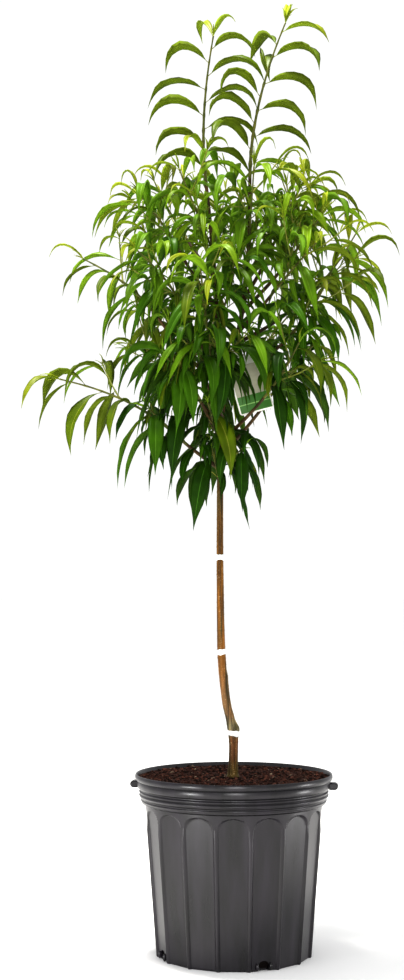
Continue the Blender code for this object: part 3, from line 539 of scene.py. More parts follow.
def makeMix():
    # The crumbly surface with its side and underside inside the pot, as one closed shape;
    # its side and underside are painted darker, as painted shade
    edge = insideRadius(mix["edge"]) - mix["gap"]
    rings, spokes = mix["rings"], mix["spokes"]
    points = [Vector((0.0, 0.0, mixHeight(0.0, 0.0)))]
    for k in range(1, rings + 1):
        radius = edge * k / rings
        for j in range(spokes):
            angle = math.tau * j / spokes
            x, y = radius * math.cos(angle), radius * math.sin(angle)
            points.append(Vector((x, y, mixHeight(x, y))))
    for height in mix["lower"]:
        radius = insideRadius(height) - mix["gap"]
        points += [around(radius, math.tau * j / spokes, height) for j in range(spokes)]
    points.append(Vector((0.0, 0.0, mix["lower"][-1])))
    faces = capFaces(0, 1, spokes)
    for k in range(rings + 1):
        a, b = 1 + k * spokes, 1 + (k + 1) * spokes
        faces += [(a + j, b + j, b + (j + 1) % spokes, a + (j + 1) % spokes) for j in range(spokes)]
    faces += capFaces(len(points) - 1, 1 + (rings + 1) * spokes, spokes, flipped=True)
    pile = Pile()
    pile.add(points, faces, [0 if k < spokes * rings else 1 for k in range(len(faces))])
    earth = barkMaterial("moist_potting_mix", mix["earth"], mix["earthLight"], 380.0, 0.95)
    # painted shade: a darker copy of the mix on the side and underside inside the pot
    sideShade = barkMaterial("shaded_potting_mix", mix["sideShade"], mix["earth"], 380.0, 0.8)
    pile.build("potting_mix_surface", [earth, sideShade], "potting_mix", ["potting_mix"])


def makeChips():
    # Broken bits of bark that lie half sunk in the surface, each a small rough lump
    dice = random.Random("bark chips")
    pile = Pile()
    materials = [barkMaterial(f"bark_chip_{k + 1}", mix["earth"], code, 260.0, 0.9)
                 for k, code in enumerate(mix["barks"])]
    offWall, offTrunk = mix["chipClear"]
    reach = insideRadius(mix["edge"]) - mix["gap"] - offWall
    for number in range(mix["chips"]):
        radius = reach * math.sqrt(dice.random())
        angle = dice.uniform(0, math.tau)
        x, y = radius * math.cos(angle), radius * math.sin(angle)
        length = blend(*mix["chipLength"], dice.random() ** mix["chipSmaller"])
        if radius < offTrunk:
            continue
        turn = Matrix.Rotation(dice.uniform(0, math.tau), 3, "Z")
        tilt = Matrix.Rotation(dice.gauss(0, mix["chipTilt"]), 3, "X")
        tilt = tilt @ Matrix.Rotation(dice.gauss(0, mix["chipTilt"]), 3, "Y")
        axes = [turn @ tilt @ Vector(axis) for axis in ((1, 0, 0), (0, 1, 0), (0, 0, 1))]
        across = length * dice.uniform(*mix["chipWidth"])
        radii = (length / 2, across, length * dice.uniform(*mix["chipHeight"]))
        centre = Vector((x, y, mixHeight(x, y) + radii[2] - mix["tuck"]))
        points, faces = ball(centre, radii, axes, 4, 6)
        points = [point + Vector([dice.uniform(-1, 1) * length * mix["chipRough"] for axis in range(3)])
                  for point in points]
        kind = dice.choices(range(len(materials)), mix["shares"])[0]
        pile.add(points, faces, kind)
    pile.build("bark_bits", materials, "potting_mix", ["potting_mix"], smooth=False)


makeMix()
makeChips()
print("potting mix")


trunk = dict(
    # height, sideways drift and radius, from the ground to the fork
    line=[
        (0.2683, -0.0015, 0.0105), (0.2740, -0.0013, 0.0086), (0.2910, -0.0007, 0.0073),
        (0.3170, -0.0002, 0.0070), (0.3290, -0.0004, 0.0076), (0.3390, -0.0010, 0.0085),
        (0.3480, -0.0026, 0.0083), (0.3570, -0.0052, 0.0072), (0.3770, -0.0103, 0.0068),
        (0.4020, -0.0137, 0.0066), (0.4240, -0.0158, 0.0069), (0.4330, -0.0172, 0.0064),
        (0.4640, -0.0191, 0.0062), (0.5100, -0.0201, 0.0057), (0.6030, -0.0210, 0.0053),
        (0.6960, -0.0209, 0.0050), (0.8060, -0.0205, 0.0047), (0.9050, -0.0225, 0.0044),
    ],
    solidPoints=24, rows=620, sides=40,
    heel=(0.3430, 0.0060, 0.0022),         # the graft's rounded heel: height, half its length, how proud
    knot=(0.4235, -65.0, 0.0060, 0.0016),  # height, bearing, size, how proud
    scars=(0.043, 0.011, 0.0022, 0.00028),  # rings of old leaves: spacing, first, half width, how proud
    tapes=(0.3350, 0.4610, 0.6060), tapeWidth=0.0085, tapeSkins=(0.00015, 0.0010), tapeGap=0.00035,
    tapeSlant=0.0012, tapeCrease=0.00035, tapeSides=72, tapeRows=9,
    # colours of the bark by height above the origin
    stops=(
        (0.268, "#5a4a1c"), (0.285, "#6a4e1a"), (0.300, "#6f4318"), (0.325, "#7a4c22"), (0.345, "#8f8561"),
        (0.365, "#80603c"), (0.400, "#7d5a34"), (0.440, "#80531a"), (0.520, "#7f5216"), (0.650, "#704c16"),
        (0.780, "#5a4218"), (0.905, "#4c3d1a"),
    ),
    fleckHex="#c9ad80", olive="#4a4420",
)


def trunkSolid():
    # The same line as the frame's trunk, as points and radii
    count = trunk["solidPoints"]
    rows = [spline(trunk["line"], k / (count - 1) * (len(trunk["line"]) - 1)) for k in range(count)]
    rows[1][1] = rows[0][1]
    return [Vector((drift, 0.0, height)) for height, drift, radius in rows], [row[2] for row in rows]


def barkRelief(angle, height, across=0.0052):
    # Young bark: long shallow furrows, short level lenticels and a ring at each old leaf scar
    ring = Vector((math.cos(angle) * across, math.sin(angle) * across, 0.0))
    furrows = noise.noise(ring * 420 + Vector((0, 0, height * 28))) * 0.00022
    weave = noise.noise(ring * 900 + Vector((5, 0, height * 160))) * 0.00010
    lenticel = noise.noise(ring * 260 + Vector((9, 0, height * 620)))
    return furrows + weave + ease(0.34, 0.62, lenticel) * 0.00030


def youngBark():
    # A grafted stone-fruit stem: smooth, half glossy skin, grey-brown low down and olive higher up
    material, tree, shader = newMaterial("young_peach_bark")
    where = addNode(tree, "ShaderNodeTexCoord").outputs["Object"]
    parts = addNode(tree, "ShaderNodeSeparateXYZ", {"Vector": where})
    low, high = trunk["stops"][0][0], trunk["stops"][-1][0]
    wobble = addNode(tree, "ShaderNodeTexNoise", {"Vector": where, "Scale": 60.0, "Detail": 3.0})
    sway = addNode(tree, "ShaderNodeMath", {0: wobble.outputs["Fac"], 1: 0.030}, operation="MULTIPLY")
    height = addNode(tree, "ShaderNodeMath", {0: parts.outputs["Z"], 1: sway.outputs["Value"]},
                     operation="ADD")
    rise = addNode(tree, "ShaderNodeMapRange", {"Value": height.outputs["Value"], "From Min": low + 0.015,
                                                "From Max": high + 0.015})
    ramp = addNode(tree, "ShaderNodeValToRGB", {"Fac": rise.outputs["Result"]})
    setStops(ramp, [((z - low) / (high - low), code) for z, code in trunk["stops"]])
    squeeze = addNode(tree, "ShaderNodeMapping", {"Vector": where, "Scale": (420.0, 420.0, 900.0)})
    flecks = addNode(tree, "ShaderNodeTexNoise", {"Vector": squeeze.outputs["Vector"], "Scale": 1.0,
                                                  "Detail": 2.0})
    spots = addNode(tree, "ShaderNodeMapRange", {"Value": flecks.outputs["Fac"], "From Min": 0.62,
                                                 "From Max": 0.74})
    pale = addNode(tree, "ShaderNodeMix", {"Factor": spots.outputs["Result"], 6: ramp.outputs["Color"],
                                           7: hexColour(trunk["fleckHex"])}, data_type="RGBA")
    streak = addNode(tree, "ShaderNodeMapping", {"Vector": where, "Scale": (300.0, 300.0, 16.0)})
    streaks = addNode(tree, "ShaderNodeTexNoise", {"Vector": streak.outputs["Vector"], "Scale": 1.0,
                                                   "Detail": 4.0})
    dark = addNode(tree, "ShaderNodeMapRange", {"Value": streaks.outputs["Fac"], "From Min": 0.38,
                                                "From Max": 0.66, "To Min": 0.34, "To Max": 1.22})
    patch = addNode(tree, "ShaderNodeMapping", {"Vector": where, "Scale": (150.0, 150.0, 9.0)})
    patches = addNode(tree, "ShaderNodeTexNoise", {"Vector": patch.outputs["Vector"], "Scale": 1.0,
                                                   "Detail": 2.0})
    green = addNode(tree, "ShaderNodeMapRange", {"Value": patches.outputs["Fac"], "From Min": 0.48,
                                                 "From Max": 0.62, "To Max": 0.75})
    skin = addNode(tree, "ShaderNodeMix", {"Factor": green.outputs["Result"], 6: pale.outputs[2],
                                           7: hexColour(trunk["olive"])}, data_type="RGBA")
    streaked = addNode(tree, "ShaderNodeVectorMath", {0: skin.outputs[2], 1: dark.outputs["Result"]},
                       operation="MULTIPLY")
    relief = addNode(tree, "ShaderNodeBump", {"Height": streaks.outputs["Fac"], "Strength": 0.35,
                                              "Distance": 0.0006})
    setSockets(tree, shader, {"Base Color": streaked.outputs["Vector"], "Normal": relief.outputs["Normal"],
                              "Roughness": 0.5, "Specular IOR Level": 0.18})
    return material


def trunkAt(height):
    # The trunk's drift and radius at a height, from its own line
    rows = trunk["line"]
    for k in range(len(rows) - 1):
        if height <= rows[k + 1][0]:
            share = (height - rows[k][0]) / (rows[k + 1][0] - rows[k][0])
            row = spline(rows, k + share)
            return row[1], row[2]
    return rows[-1][1], rows[-1][2]


def heelSwell(angle, height):
    at, half, proud = trunk["heel"]
    return proud * math.exp(-((height - at) / half) ** 2) * max(0.0, math.cos(angle)) ** 2


def makeTrunk(material):
    low, high = trunk["line"][0][0], trunk["line"][-1][0]
    sides, rows = trunk["sides"], trunk["rows"]
    scarEvery, scarFrom, scarHalf, scarProud = trunk["scars"]
    knotAt, knotBearing, knotSize, knotProud = trunk["knot"]
    points, places = [], []
    for k in range(rows + 1):
        height = low + (high - low) * k / rows
        drift, radius = trunkAt(height)
        offScar = abs((height - low + scarFrom) % scarEvery - scarEvery / 2)
        scar = max(0.0, 1 - offScar / scarHalf) * scarProud
        for j in range(sides):
            angle = math.tau * j / sides
            own = radius + barkRelief(angle, height, radius) + scar
            own += heelSwell(angle, height)
            turn = (angle - math.radians(knotBearing) + math.pi) % math.tau - math.pi
            away = math.hypot(turn * radius, (height - knotAt) * 0.8) / knotSize
            own += knotProud * (math.exp(-away * away * 2.2) - 0.75 * math.exp(-away * away * 14))
            points.append(Vector((drift + own * math.cos(angle), own * math.sin(angle), height)))
            places.append((j / sides, k / rows))
    faces = gridFaces(rows + 1, sides)
    points += [Vector((trunkAt(low)[0], 0.0, low)), Vector((trunkAt(high)[0], 0.0, high + 0.002))]
    places += [(0.5, 0.0), (0.5, 1.0)]
    foot, tip = len(points) - 2, len(points) - 1
    faces += capFaces(foot, 0, sides, flipped=True) + capFaces(tip, rows * sides, sides)
    pile = Pile()
    pile.add(points, faces, 0, places)
    return pile.build("trunk_bark", [material], "bark", ["trunk"])


def whiteTape():
    # Stretchy nursery film, wound twice: white, soft sheen, with pulled creases
    material, tree, shader = newMaterial("white_stretch_film")
    where = addNode(tree, "ShaderNodeTexCoord").outputs["Object"]
    pull = addNode(tree, "ShaderNodeMapping", {"Vector": where, "Scale": (250.0, 250.0, 900.0)})
    creases = addNode(tree, "ShaderNodeTexNoise", {"Vector": pull.outputs["Vector"], "Scale": 1.0,
                                                   "Detail": 3.0})
    ramp = addNode(tree, "ShaderNodeValToRGB", {"Fac": creases.outputs["Fac"]})
    setStops(ramp, [(0.25, "#d9d7cf"), (0.65, "#f7f6f2")])
    relief = addNode(tree, "ShaderNodeBump", {"Height": creases.outputs["Fac"], "Strength": 0.5,
                                              "Distance": 0.0005})
    setSockets(tree, shader, {"Base Color": ramp.outputs["Color"], "Normal": relief.outputs["Normal"],
                              "Roughness": 0.42, "Subsurface Weight": 0.1})
    return material


def makeTapes():
    # Each band is an inner and an outer skin with wavy edges, closed along them
    material = whiteTape()
    sides, rows, half = trunk["tapeSides"], trunk["tapeRows"], trunk["tapeWidth"] / 2
    for number, middle in enumerate(trunk["tapes"]):
        dice = random.Random(f"tape {number}")
        phase = dice.uniform(0, math.tau)
        points = []
        for layer, skin in enumerate(trunk["tapeSkins"]):
            for k in range(rows):
                share = k / (rows - 1) * 2 - 1
                for j in range(sides):
                    angle = math.tau * j / sides
                    edge = 1 + 0.10 * math.sin(angle * 3 + phase) + 0.06 * math.sin(angle * 7 + phase * 2)
                    height = middle + share * half * edge + trunk["tapeSlant"] * math.sin(angle + phase)
                    drift, radius = trunkAt(height)
                    radius += heelSwell(angle, height)
                    crease = noise.noise(around(2.2, angle, height * 700 + number)) * layer
                    own = radius + trunk["tapeGap"] + skin * (1 - 0.55 * abs(share) ** 6)
                    own += crease * trunk["tapeCrease"]
                    points.append(Vector((drift + own * math.cos(angle), own * math.sin(angle), height)))
        faces = [tuple(reversed(face)) for face in gridFaces(rows, sides)]
        faces += [tuple(rows * sides + k for k in face) for face in gridFaces(rows, sides)]
        top, bottom = (rows - 1) * sides, rows * sides
        for j in range(sides):
            n = (j + 1) % sides
            faces.append((j, n, bottom + n, bottom + j))
            faces.append((top + n, top + j, bottom + top + j, bottom + top + n))
        pile = Pile()
        pile.add(points, faces, 0)
        pile.build(f"tape_band_{number + 1}", [material], "tape", [f"tape_{number + 1}"])


barkSkin = youngBark()
makeTrunk(barkSkin)
makeTapes()
print("trunk and tape")


# Limbs, as in the frame. Each bough leaves its parent at a height and ends where its leafy shoot
# takes over; a limb with no bough tip is a shoot straight from its parent. Then the shoot's tip,
# the number of its side twigs, the turn of its first leaf in degrees, and the size of its leaves.
Limb = namedtuple("Limb", "parent at boughTip shootTip twigs turn size")
limbs = {
    "leader_left": Limb("trunk", None, (-0.043, 0.018, 1.204), (-0.031, 0.016, 1.440), 0, 216, 0.92),
    "leader_right": Limb("trunk", 0.875, (0.026, -0.018, 1.200), (0.082, -0.030, 1.445), 0, 36, 0.90),
    "low_left": Limb("trunk", 0.745, (-0.094, -0.022, 0.800), (-0.268, -0.045, 0.880), 1, 40, 0.95),
    "low_right": Limb("trunk", 0.765, (0.058, -0.012, 0.858), (0.134, -0.010, 0.948), 2, 40, 0.84),
    "mid_left": Limb("trunk", 0.871, (-0.120, -0.006, 0.985), (-0.236, -0.004, 1.076), 1, 10, 0.86),
    "mid_left_front": Limb("trunk", 0.893, (-0.075, -0.042, 0.985), (-0.148, -0.085, 1.072), 3, 90, 0.9),
    "left_back": Limb("trunk", 0.812, (-0.068, 0.034, 0.880), (-0.168, 0.092, 0.955), 2, 130, 0.72),
    "mid_right": Limb("leader_right", 0.940, (0.085, 0.003, 0.990), (0.196, 0.020, 1.122), 3, 200, 1.0),
    "mid_right_front": Limb("trunk", 0.862, (0.080, -0.028, 0.942), (0.150, -0.085, 1.045), 3, 150, 0.9),
    "front_left": Limb("trunk", 0.845, (-0.035, -0.060, 0.915), (-0.052, -0.160, 1.036), 3, 70, 1.0),
    "front_right": Limb("leader_right", 0.960, (0.055, -0.060, 1.005), (0.120, -0.145, 1.070), 3, 0, 0.95),
    "front_low": Limb("trunk", 0.828, (-0.022, -0.048, 0.870), (-0.030, -0.145, 0.925), 3, 110, 1.0),
    "front_low_left": Limb("trunk", 0.795, (-0.050, -0.038, 0.845), (-0.105, -0.120, 0.905), 3, 30, 1.0),
    "front_low_right": Limb("trunk", 0.787, (0.046, -0.056, 0.850), (0.096, -0.120, 0.925), 2, 250, 1.0),
    "back_low_left": Limb("trunk", 0.838, (-0.048, 0.055, 0.905), (-0.106, 0.170, 1.000), 3, 190, 1.0),
    "back_low_right": Limb("trunk", 0.852, (0.035, 0.055, 0.925), (0.110, 0.165, 1.030), 3, 20, 1.0),
    "back_low": Limb("trunk", 0.800, (-0.014, 0.055, 0.850), (-0.005, 0.180, 0.945), 3, 80, 1.0),
    "up_left": Limb("leader_left", 1.000, (-0.085, 0.026, 1.095), (-0.152, 0.050, 1.195), 3, 140, 1.0),
    "up_left_back": Limb("leader_left", 1.050, (-0.072, 0.062, 1.120), (-0.118, 0.125, 1.205), 3, 0, 1.0),
    "up_right": Limb("leader_right", 1.010, (0.065, 0.018, 1.105), (0.104, 0.030, 1.192), 3, 210, 0.95),
    "up_right_front": Limb("leader_right", 0.99, (0.085, -0.045, 1.065), (.136, -.07, 1.13), 3, 100, 0.95),
    "up_right_back": Limb("leader_right", 1.04, (0.05, 0.06, 1.115), (0.088, 0.130, 1.185), 3, 300, 0.95),
    "up_left_front": Limb("leader_left", 1.090, None, (-0.084, -0.060, 1.203), 2, 160, 0.9),
    "up_front": Limb("leader_right", 1.060, None, (0.030, -0.095, 1.198), 3, 330, 1.0),
    "up_back": Limb("leader_left", 1.080, None, (-0.010, 0.115, 1.215), 2, 260, 1.0),
    "spur_left": Limb("trunk", 0.722, None, (-0.034, -0.026, 0.775), 0, 100, 1.15),
    "spur_low_left": Limb("low_left", 0.780, None, (-0.128, -0.062, 0.830), 0, 20, 1.1),
    "spur_front": Limb("trunk", 0.778, None, (-0.040, -0.070, 0.840), 0, 40, 1.1),
    "spur_back": Limb("trunk", 0.770, None, (-0.016, 0.070, 0.835), 0, 200, 1.0),
    "spur_right": Limb("trunk", 0.752, None, (0.012, -0.052, 0.770), 0, 320, 1.05),
    "front_middle": Limb("leader_left", 0.965, None, (0.008, -0.100, 1.062), 2, 50, 0.95),
}
habit = dict(
    clearance=0.0003, air=0.0009, probeSwell=1.6, twigClear=0.06,
    boughRadii=(0.0033, 0.0024), leaderRadii=(0.0043, 0.0030), boughPoints=5, leaderPoints=8,
    boughBend=(0.60, 0.50), leaderBend=(1.05, 0.27),
    shootRadii=(0.0029, 0.0019), shootStep=0.045, shootStart=0.45, shootRoom=0.125,
    twigLength=0.085, twigRadii=(0.0022, 0.0016), twigPoints=3, twigFirst=0.13, twigSpan=0.74,
    twigOpening=math.radians(52), twigOffset=75.0, twigTurn=140.0, twigJitter=50.0,
    twigVaries=(0.75, 1.15),
    twigShortens=0.35, twigRise=0.25, twigCurl=0.18,
    leafLength=0.128, leafHalfWidth=0.0133, leafSteps=12, leafRings=(0, 4, 8, 12), leafStalk=0.08,
    leafShape=(0.9, 1.3), leafPeak=0.2257, leafFold=(math.radians(18), math.radians(48)), leafKeel=0.0018,
    leafSpacing=0.0260, leaderSpacing=0.0215, firstShootLeaf=0.022, firstTwigLeaf=0.018,
    leafTurn=137.5, leaderTurn=172.0, twigLeafTurn=70.0, leafJitter=14.0, leafOpening=math.radians(62),
    openingVaries=(0.85, 1.15), sizeVaries=(0.88, 1.12), widthVaries=(0.90, 1.10), widthPower=0.6,
    leafSway=0.22, leafRoll=(36.0, 22.0), tries=9, tryShrink=0.035, lowestLeaf=0.605,
    crownFloor=0.75, crownTop=1.27, crownRadius=0.20, axisDrift=-0.010, outerFrom=0.45, outerLight=0.45,
    youngLeaves=1.7, youngLow=0.30, youngShrink=0.50, youngCloses=0.45,
    outwardPull=0.45, hang=0.25, reachUp=0.36,
    # how far a leaf turns down by its tip and how late, each by its light, then youth or for a leader
    droop=(1.00, -0.08, -0.15), droopVaries=(0.90, 1.03), droopPower=(0.45, 0.48, 0.05),
)
Stem = namedtuple("Stem", "points radii")
Leaf = namedtuple("Leaf", "places sides tops halfWidth light youth")


def bezier(start, control, end, count):
    points = []
    for k in range(count):
        t = k / (count - 1)
        points.append(start * (1 - t) ** 2 + control * (2 * t * (1 - t)) + end * t * t)
    return points


def taper(first, last, count):
    return [blend(first, last, k / (count - 1)) for k in range(count)]


def lineLengths(points):
    lengths = [0.0]
    for a, b in zip(points, points[1:]):
        lengths.append(lengths[-1] + (b - a).length)
    return lengths


def along(points, distance):
    # The place and direction at a distance along a line of points
    lengths = lineLengths(points)
    for k in range(len(points) - 1):
        if distance <= lengths[k + 1] or k == len(points) - 2:
            direction = unit(points[k + 1] - points[k])
            return points[k] + direction * (distance - lengths[k]), direction


def aim(axis, opening, turnDegrees):
    # A direction that leaves an axis by an opening angle, turned about it
    turn = math.radians(turnDegrees)
    spread = math.sin(opening)
    local = Vector((spread * math.cos(turn), spread * math.sin(turn), math.cos(opening)))
    return up.rotation_difference(axis) @ local


def stemAt(stem, height):
    points, radii = stem
    for k in range(len(points) - 1):
        if points[k + 1].z >= height:
            share = (height - points[k].z) / (points[k + 1].z - points[k].z)
            return points[k].lerp(points[k + 1], share), blend(radii[k], radii[k + 1], share)
    return points[-1], radii[-1]


class Crowd:
    # Everything already in place, for testing whether a new shape has air round it
    def __init__(self):
        self.members = []

    def add(self, owner, points, faces):
        self.members.append((owner, self.corners(points), BVHTree.FromPolygons(points, faces)))

    def addNode(self, owner, node):
        mesh = frame["nodes"][node].data
        self.add(owner, [vertex.co.copy() for vertex in mesh.vertices],
                 [tuple(face.vertices) for face in mesh.polygons])

    @staticmethod
    def corners(points):
        return ([min(p[i] for p in points) for i in range(3)],
                [max(p[i] for p in points) for i in range(3)])

    def touchedBy(self, points, faces, skip=()):
        low, high = self.corners(points)
        tree = None
        for owner, (otherLow, otherHigh), other in self.members:
            if owner in skip:
                continue
            if any(low[i] > otherHigh[i] or high[i] < otherLow[i] for i in range(3)):
                continue
            tree = tree or BVHTree.FromPolygons(points, faces)
            if tree.overlap(other):
                return True
        return False


def loft(rings):
    # Closed faces through rings of three points, with a single point at an end that closes
    points = [point for ring in rings for point in ring]
    faces = []
    start = 0
    for ring, following in zip(rings, rings[1:]):
        a, b = len(ring), len(following)
        here = list(range(start, start + a))
        there = list(range(start + a, start + a + b))
        for k in range(3):
            n = (k + 1) % 3
            if a == 3 and b == 3:
                faces += [(here[k], here[n], there[n]), (here[k], there[n], there[k])]
            elif b == 1:
                faces.append((here[k], here[n], there[0]))
        start += a
    return points, faces


def boxRound(start, end, radius):
    run = unit(end - start)
    across = unit(run.orthogonal())
    other = run.cross(across)
    rings = []
    for place in (start, end):
        ring = []
        for k in range(3):
            turn = math.tau * k / 3
            spoke = across * math.cos(turn) + other * math.sin(turn)
            ring.append(place + spoke * radius * habit["probeSwell"])
        rings.append(ring)
    points, faces = loft(rings)
    return points, faces + [(0, 2, 1), (3, 4, 5)]


def leafWidth(t):
    # Half-width along the leaf as a share of the widest place, past the stalk
    u = max(0.0, (t - habit["leafStalk"]) / (1 - habit["leafStalk"]))
    return u ** habit["leafShape"][0] * (1 - u) ** habit["leafShape"][1] / habit["leafPeak"]


def bendLeaf(root, heading, length, halfWidth, droop, power, roll, sway, light, youth):
    # The rib's line, with the leaf's side and upper directions at each step
    side = heading.cross(up)
    side = unit(side) if side.length > 0.01 else Vector((1.0, 0.0, 0.0))
    places, sides, tops = [root.copy()], [], []
    steps = habit["leafSteps"]
    for k in range(steps + 1):
        t = k / steps
        pull = droop * t ** power
        direction = unit(heading * (1 - pull) - up * pull + side * sway * t)
        across = unit(side - direction * side.dot(direction))
        above = across.cross(direction)
        angle = math.radians(roll) * min(1.0, t * 3)
        sides.append(across * math.cos(angle) + above * math.sin(angle))
        tops.append(above * math.cos(angle) - across * math.sin(angle))
        if k < steps:
            places.append(places[-1] + direction * (length / steps))
    return Leaf(places, sides, tops, halfWidth, light, youth)


def stalkEnd(leaf):
    return leaf.places[0].lerp(leaf.places[habit["leafRings"][1]], 0.25)


def leafAir(leaf):
    # The space that the frame's thicker leaf takes, with the air round it
    grow, rings = habit["air"], []
    steps = habit["leafSteps"]
    fold = blend(*habit["leafFold"], leaf.light)
    for k in habit["leafRings"]:
        place, side, top = leaf.places[k], leaf.sides[k], leaf.tops[k]
        if k == 0:
            place = stalkEnd(leaf)
            rings.append([place - side * grow + top * grow, place + side * grow + top * grow,
                          place - top * grow * 2])
        elif k == steps:
            rings.append([place + (place - leaf.places[k - 1]) * grow * 20])
        else:
            reach = leaf.halfWidth * leafWidth(k / steps)
            out = reach * math.cos(fold) + grow * 1.5
            rise = reach * math.sin(fold) + grow / 2
            rings.append([place - side * out + top * rise, place + side * out + top * rise,
                          place - top * (habit["leafKeel"] + grow)])
    points, faces = loft(rings)
    return points, faces + [(0, 2, 1)]


def distanceToLine(point, points):
    best = 1e9
    for a, b in zip(points, points[1:]):
        run = b - a
        share = min(1.0, max(0.0, (point - a).dot(run) / run.length_squared))
        best = min(best, (point - a - run * share).length)
    return best


def shootLine(start, heading, tip):
    span = (tip - start).length
    count = max(4, round(span / habit["shootStep"]) + 1)
    return bezier(start, start + heading * span * habit["shootStart"], tip, count)


def boughStem(name, limb, parent):
    # The same line as the frame's bough
    tip = Vector(limb.boughTip)
    leader = name.startswith("leader")
    if limb.at is None:
        run = unit(parent.points[-1] - parent.points[-2])
        start = parent.points[-1] + run * habit["clearance"]
        control = start + run * (tip - start).length / 2
    else:
        start, radius = stemAt(parent, limb.at)
        reach = tip - start
        across, rise = habit["leaderBend"] if leader else habit["boughBend"]
        control = start + Vector((reach.x * across, reach.y * across, reach.z * rise))
    count = habit["leaderPoints"] if leader else habit["boughPoints"]
    radii = habit["leaderRadii"] if leader else habit["boughRadii"]
    return Stem(bezier(start, control, tip, count), taper(*radii, count))


def shootStem(limb, stem, parent):
    tip = Vector(limb.shootTip)
    if limb.boughTip:
        heading = unit(stem.points[-1] - stem.points[-2])
        line = shootLine(stem.points[-1] + heading * habit["clearance"], heading, tip)
    else:
        start, radius = stemAt(parent, limb.at)
        line = shootLine(start, unit(tip - start), tip)
    return Stem(line, taper(*habit["shootRadii"], len(line)))


def growTwigs(name, limb, shoot, crowd):
    # Side twigs by rule along the shoot; one that touches a limb is skipped
    lines = [shoot]
    total = lineLengths(shoot.points)[-1]
    for k in range(limb.twigs):
        dice = random.Random(f"{name}-twig-{k}")
        share = habit["twigFirst"] + habit["twigSpan"] * (k + 0.5) / limb.twigs
        for attempt in range(habit["tries"]):
            turn = limb.turn + habit["twigOffset"] + k * habit["twigTurn"]
            turn += dice.uniform(-habit["twigJitter"], habit["twigJitter"])
            length = habit["twigLength"] * dice.uniform(*habit["twigVaries"])
            length *= 1 - habit["twigShortens"] * share
            start, run = along(shoot.points, total * share)
            heading = unit(aim(run, habit["twigOpening"], turn) + up * habit["twigRise"])
            end = start + heading * length + up * length * habit["twigCurl"]
            line = bezier(start, start + heading * length / 2, end, habit["twigPoints"])
            room = boxRound(start, end, habit["twigRadii"][0] + habit["air"])
            inside = distanceToLine(end, shoot.points) < habit["shootRoom"]
            if inside and not crowd.touchedBy(*room, skip=(name,)):
                lines.append(Stem(line, taper(*habit["twigRadii"], habit["twigPoints"])))
                break
    return lines


def lightAt(place):
    # How high in the crown a place is, how much light it gets, and which way is outward there
    height = (place.z - habit["crownFloor"]) / (habit["crownTop"] - habit["crownFloor"])
    height = min(1.0, max(0.0, height))
    outward = Vector((place.x - habit["axisDrift"], place.y, 0.0)) / habit["crownRadius"]
    light = height + habit["outerLight"] * max(0.0, outward.length - habit["outerFrom"])
    return height, min(1.0, light), outward


def leafRoots(name, number, total):
    # Where the leaves leave a twig, as distances along it
    spacing = habit["leaderSpacing"] if name.startswith("leader") else habit["leafSpacing"]
    first = habit["firstTwigLeaf"] if number else habit["firstShootLeaf"]
    return [min(total - 0.001, first + k * spacing) for k in range(int((total - first) / spacing) + 2)]


def growLeaves(name, limb, lines, crowd):
    # A spiral of leaves on each twig, youngest and smallest at its tip
    leaves = []
    leader = name.startswith("leader")
    stepTurn = habit["leaderTurn"] if leader else habit["leafTurn"]
    for number, (line, width) in enumerate(lines):
        roots = leafRoots(name, number, lineLengths(line)[-1])
        count = len(roots) - 1
        for k, distance in enumerate(roots):
            dice = random.Random(f"{name}-{number}-leaf-{k}")
            root, run = along(line, distance)
            height, light, outward = lightAt(root)
            youth = max(0.0, 1 - (count - k) / habit["youngLeaves"]) * blend(habit["youngLow"], 1.0, height)
            size = limb.size * (1 - habit["youngShrink"] * youth) * dice.uniform(*habit["sizeVaries"])
            for attempt in range(habit["tries"]):
                turn = limb.turn + number * habit["twigLeafTurn"] + k * stepTurn
                turn += dice.uniform(-habit["leafJitter"], habit["leafJitter"]) * (1 + attempt)
                opening = habit["leafOpening"] * (1 - habit["youngCloses"] * youth)
                opening *= dice.uniform(*habit["openingVaries"])
                heading = aim(run, opening, turn) + up * (habit["reachUp"] * light - habit["hang"])
                heading = unit(heading + outward * habit["outwardPull"])
                length = habit["leafLength"] * size * (1 - habit["tryShrink"] * attempt)
                droop = sum(a * b for a, b in zip(habit["droop"], (1.0, light, youth)))
                droop *= dice.uniform(*habit["droopVaries"])
                power = sum(a * b for a, b in zip(habit["droopPower"], (1.0, light, leader)))
                roll = dice.uniform(-1, 1) * blend(*habit["leafRoll"], light)
                sway = dice.uniform(-habit["leafSway"], habit["leafSway"])
                halfWidth = habit["leafHalfWidth"] * size ** habit["widthPower"]
                halfWidth *= dice.uniform(*habit["widthVaries"])
                leaf = bendLeaf(root, heading, length, halfWidth, droop, power, roll, sway, light, youth)
                if distanceToLine(leaf.places[-1], lines[0][0]) > habit["shootRoom"]:
                    continue
                if leaf.places[-1].z < habit["lowestLeaf"]:
                    continue
                points, faces = leafAir(leaf)
                stalk = boxRound(root, stalkEnd(leaf), habit["air"])
                if crowd.touchedBy(points, faces) or crowd.touchedBy(*stalk, skip=(name,)):
                    continue
                crowd.add(name, points, faces)
                crowd.add(name, *stalk)
                leaves.append(leaf)
                break
    return leaves


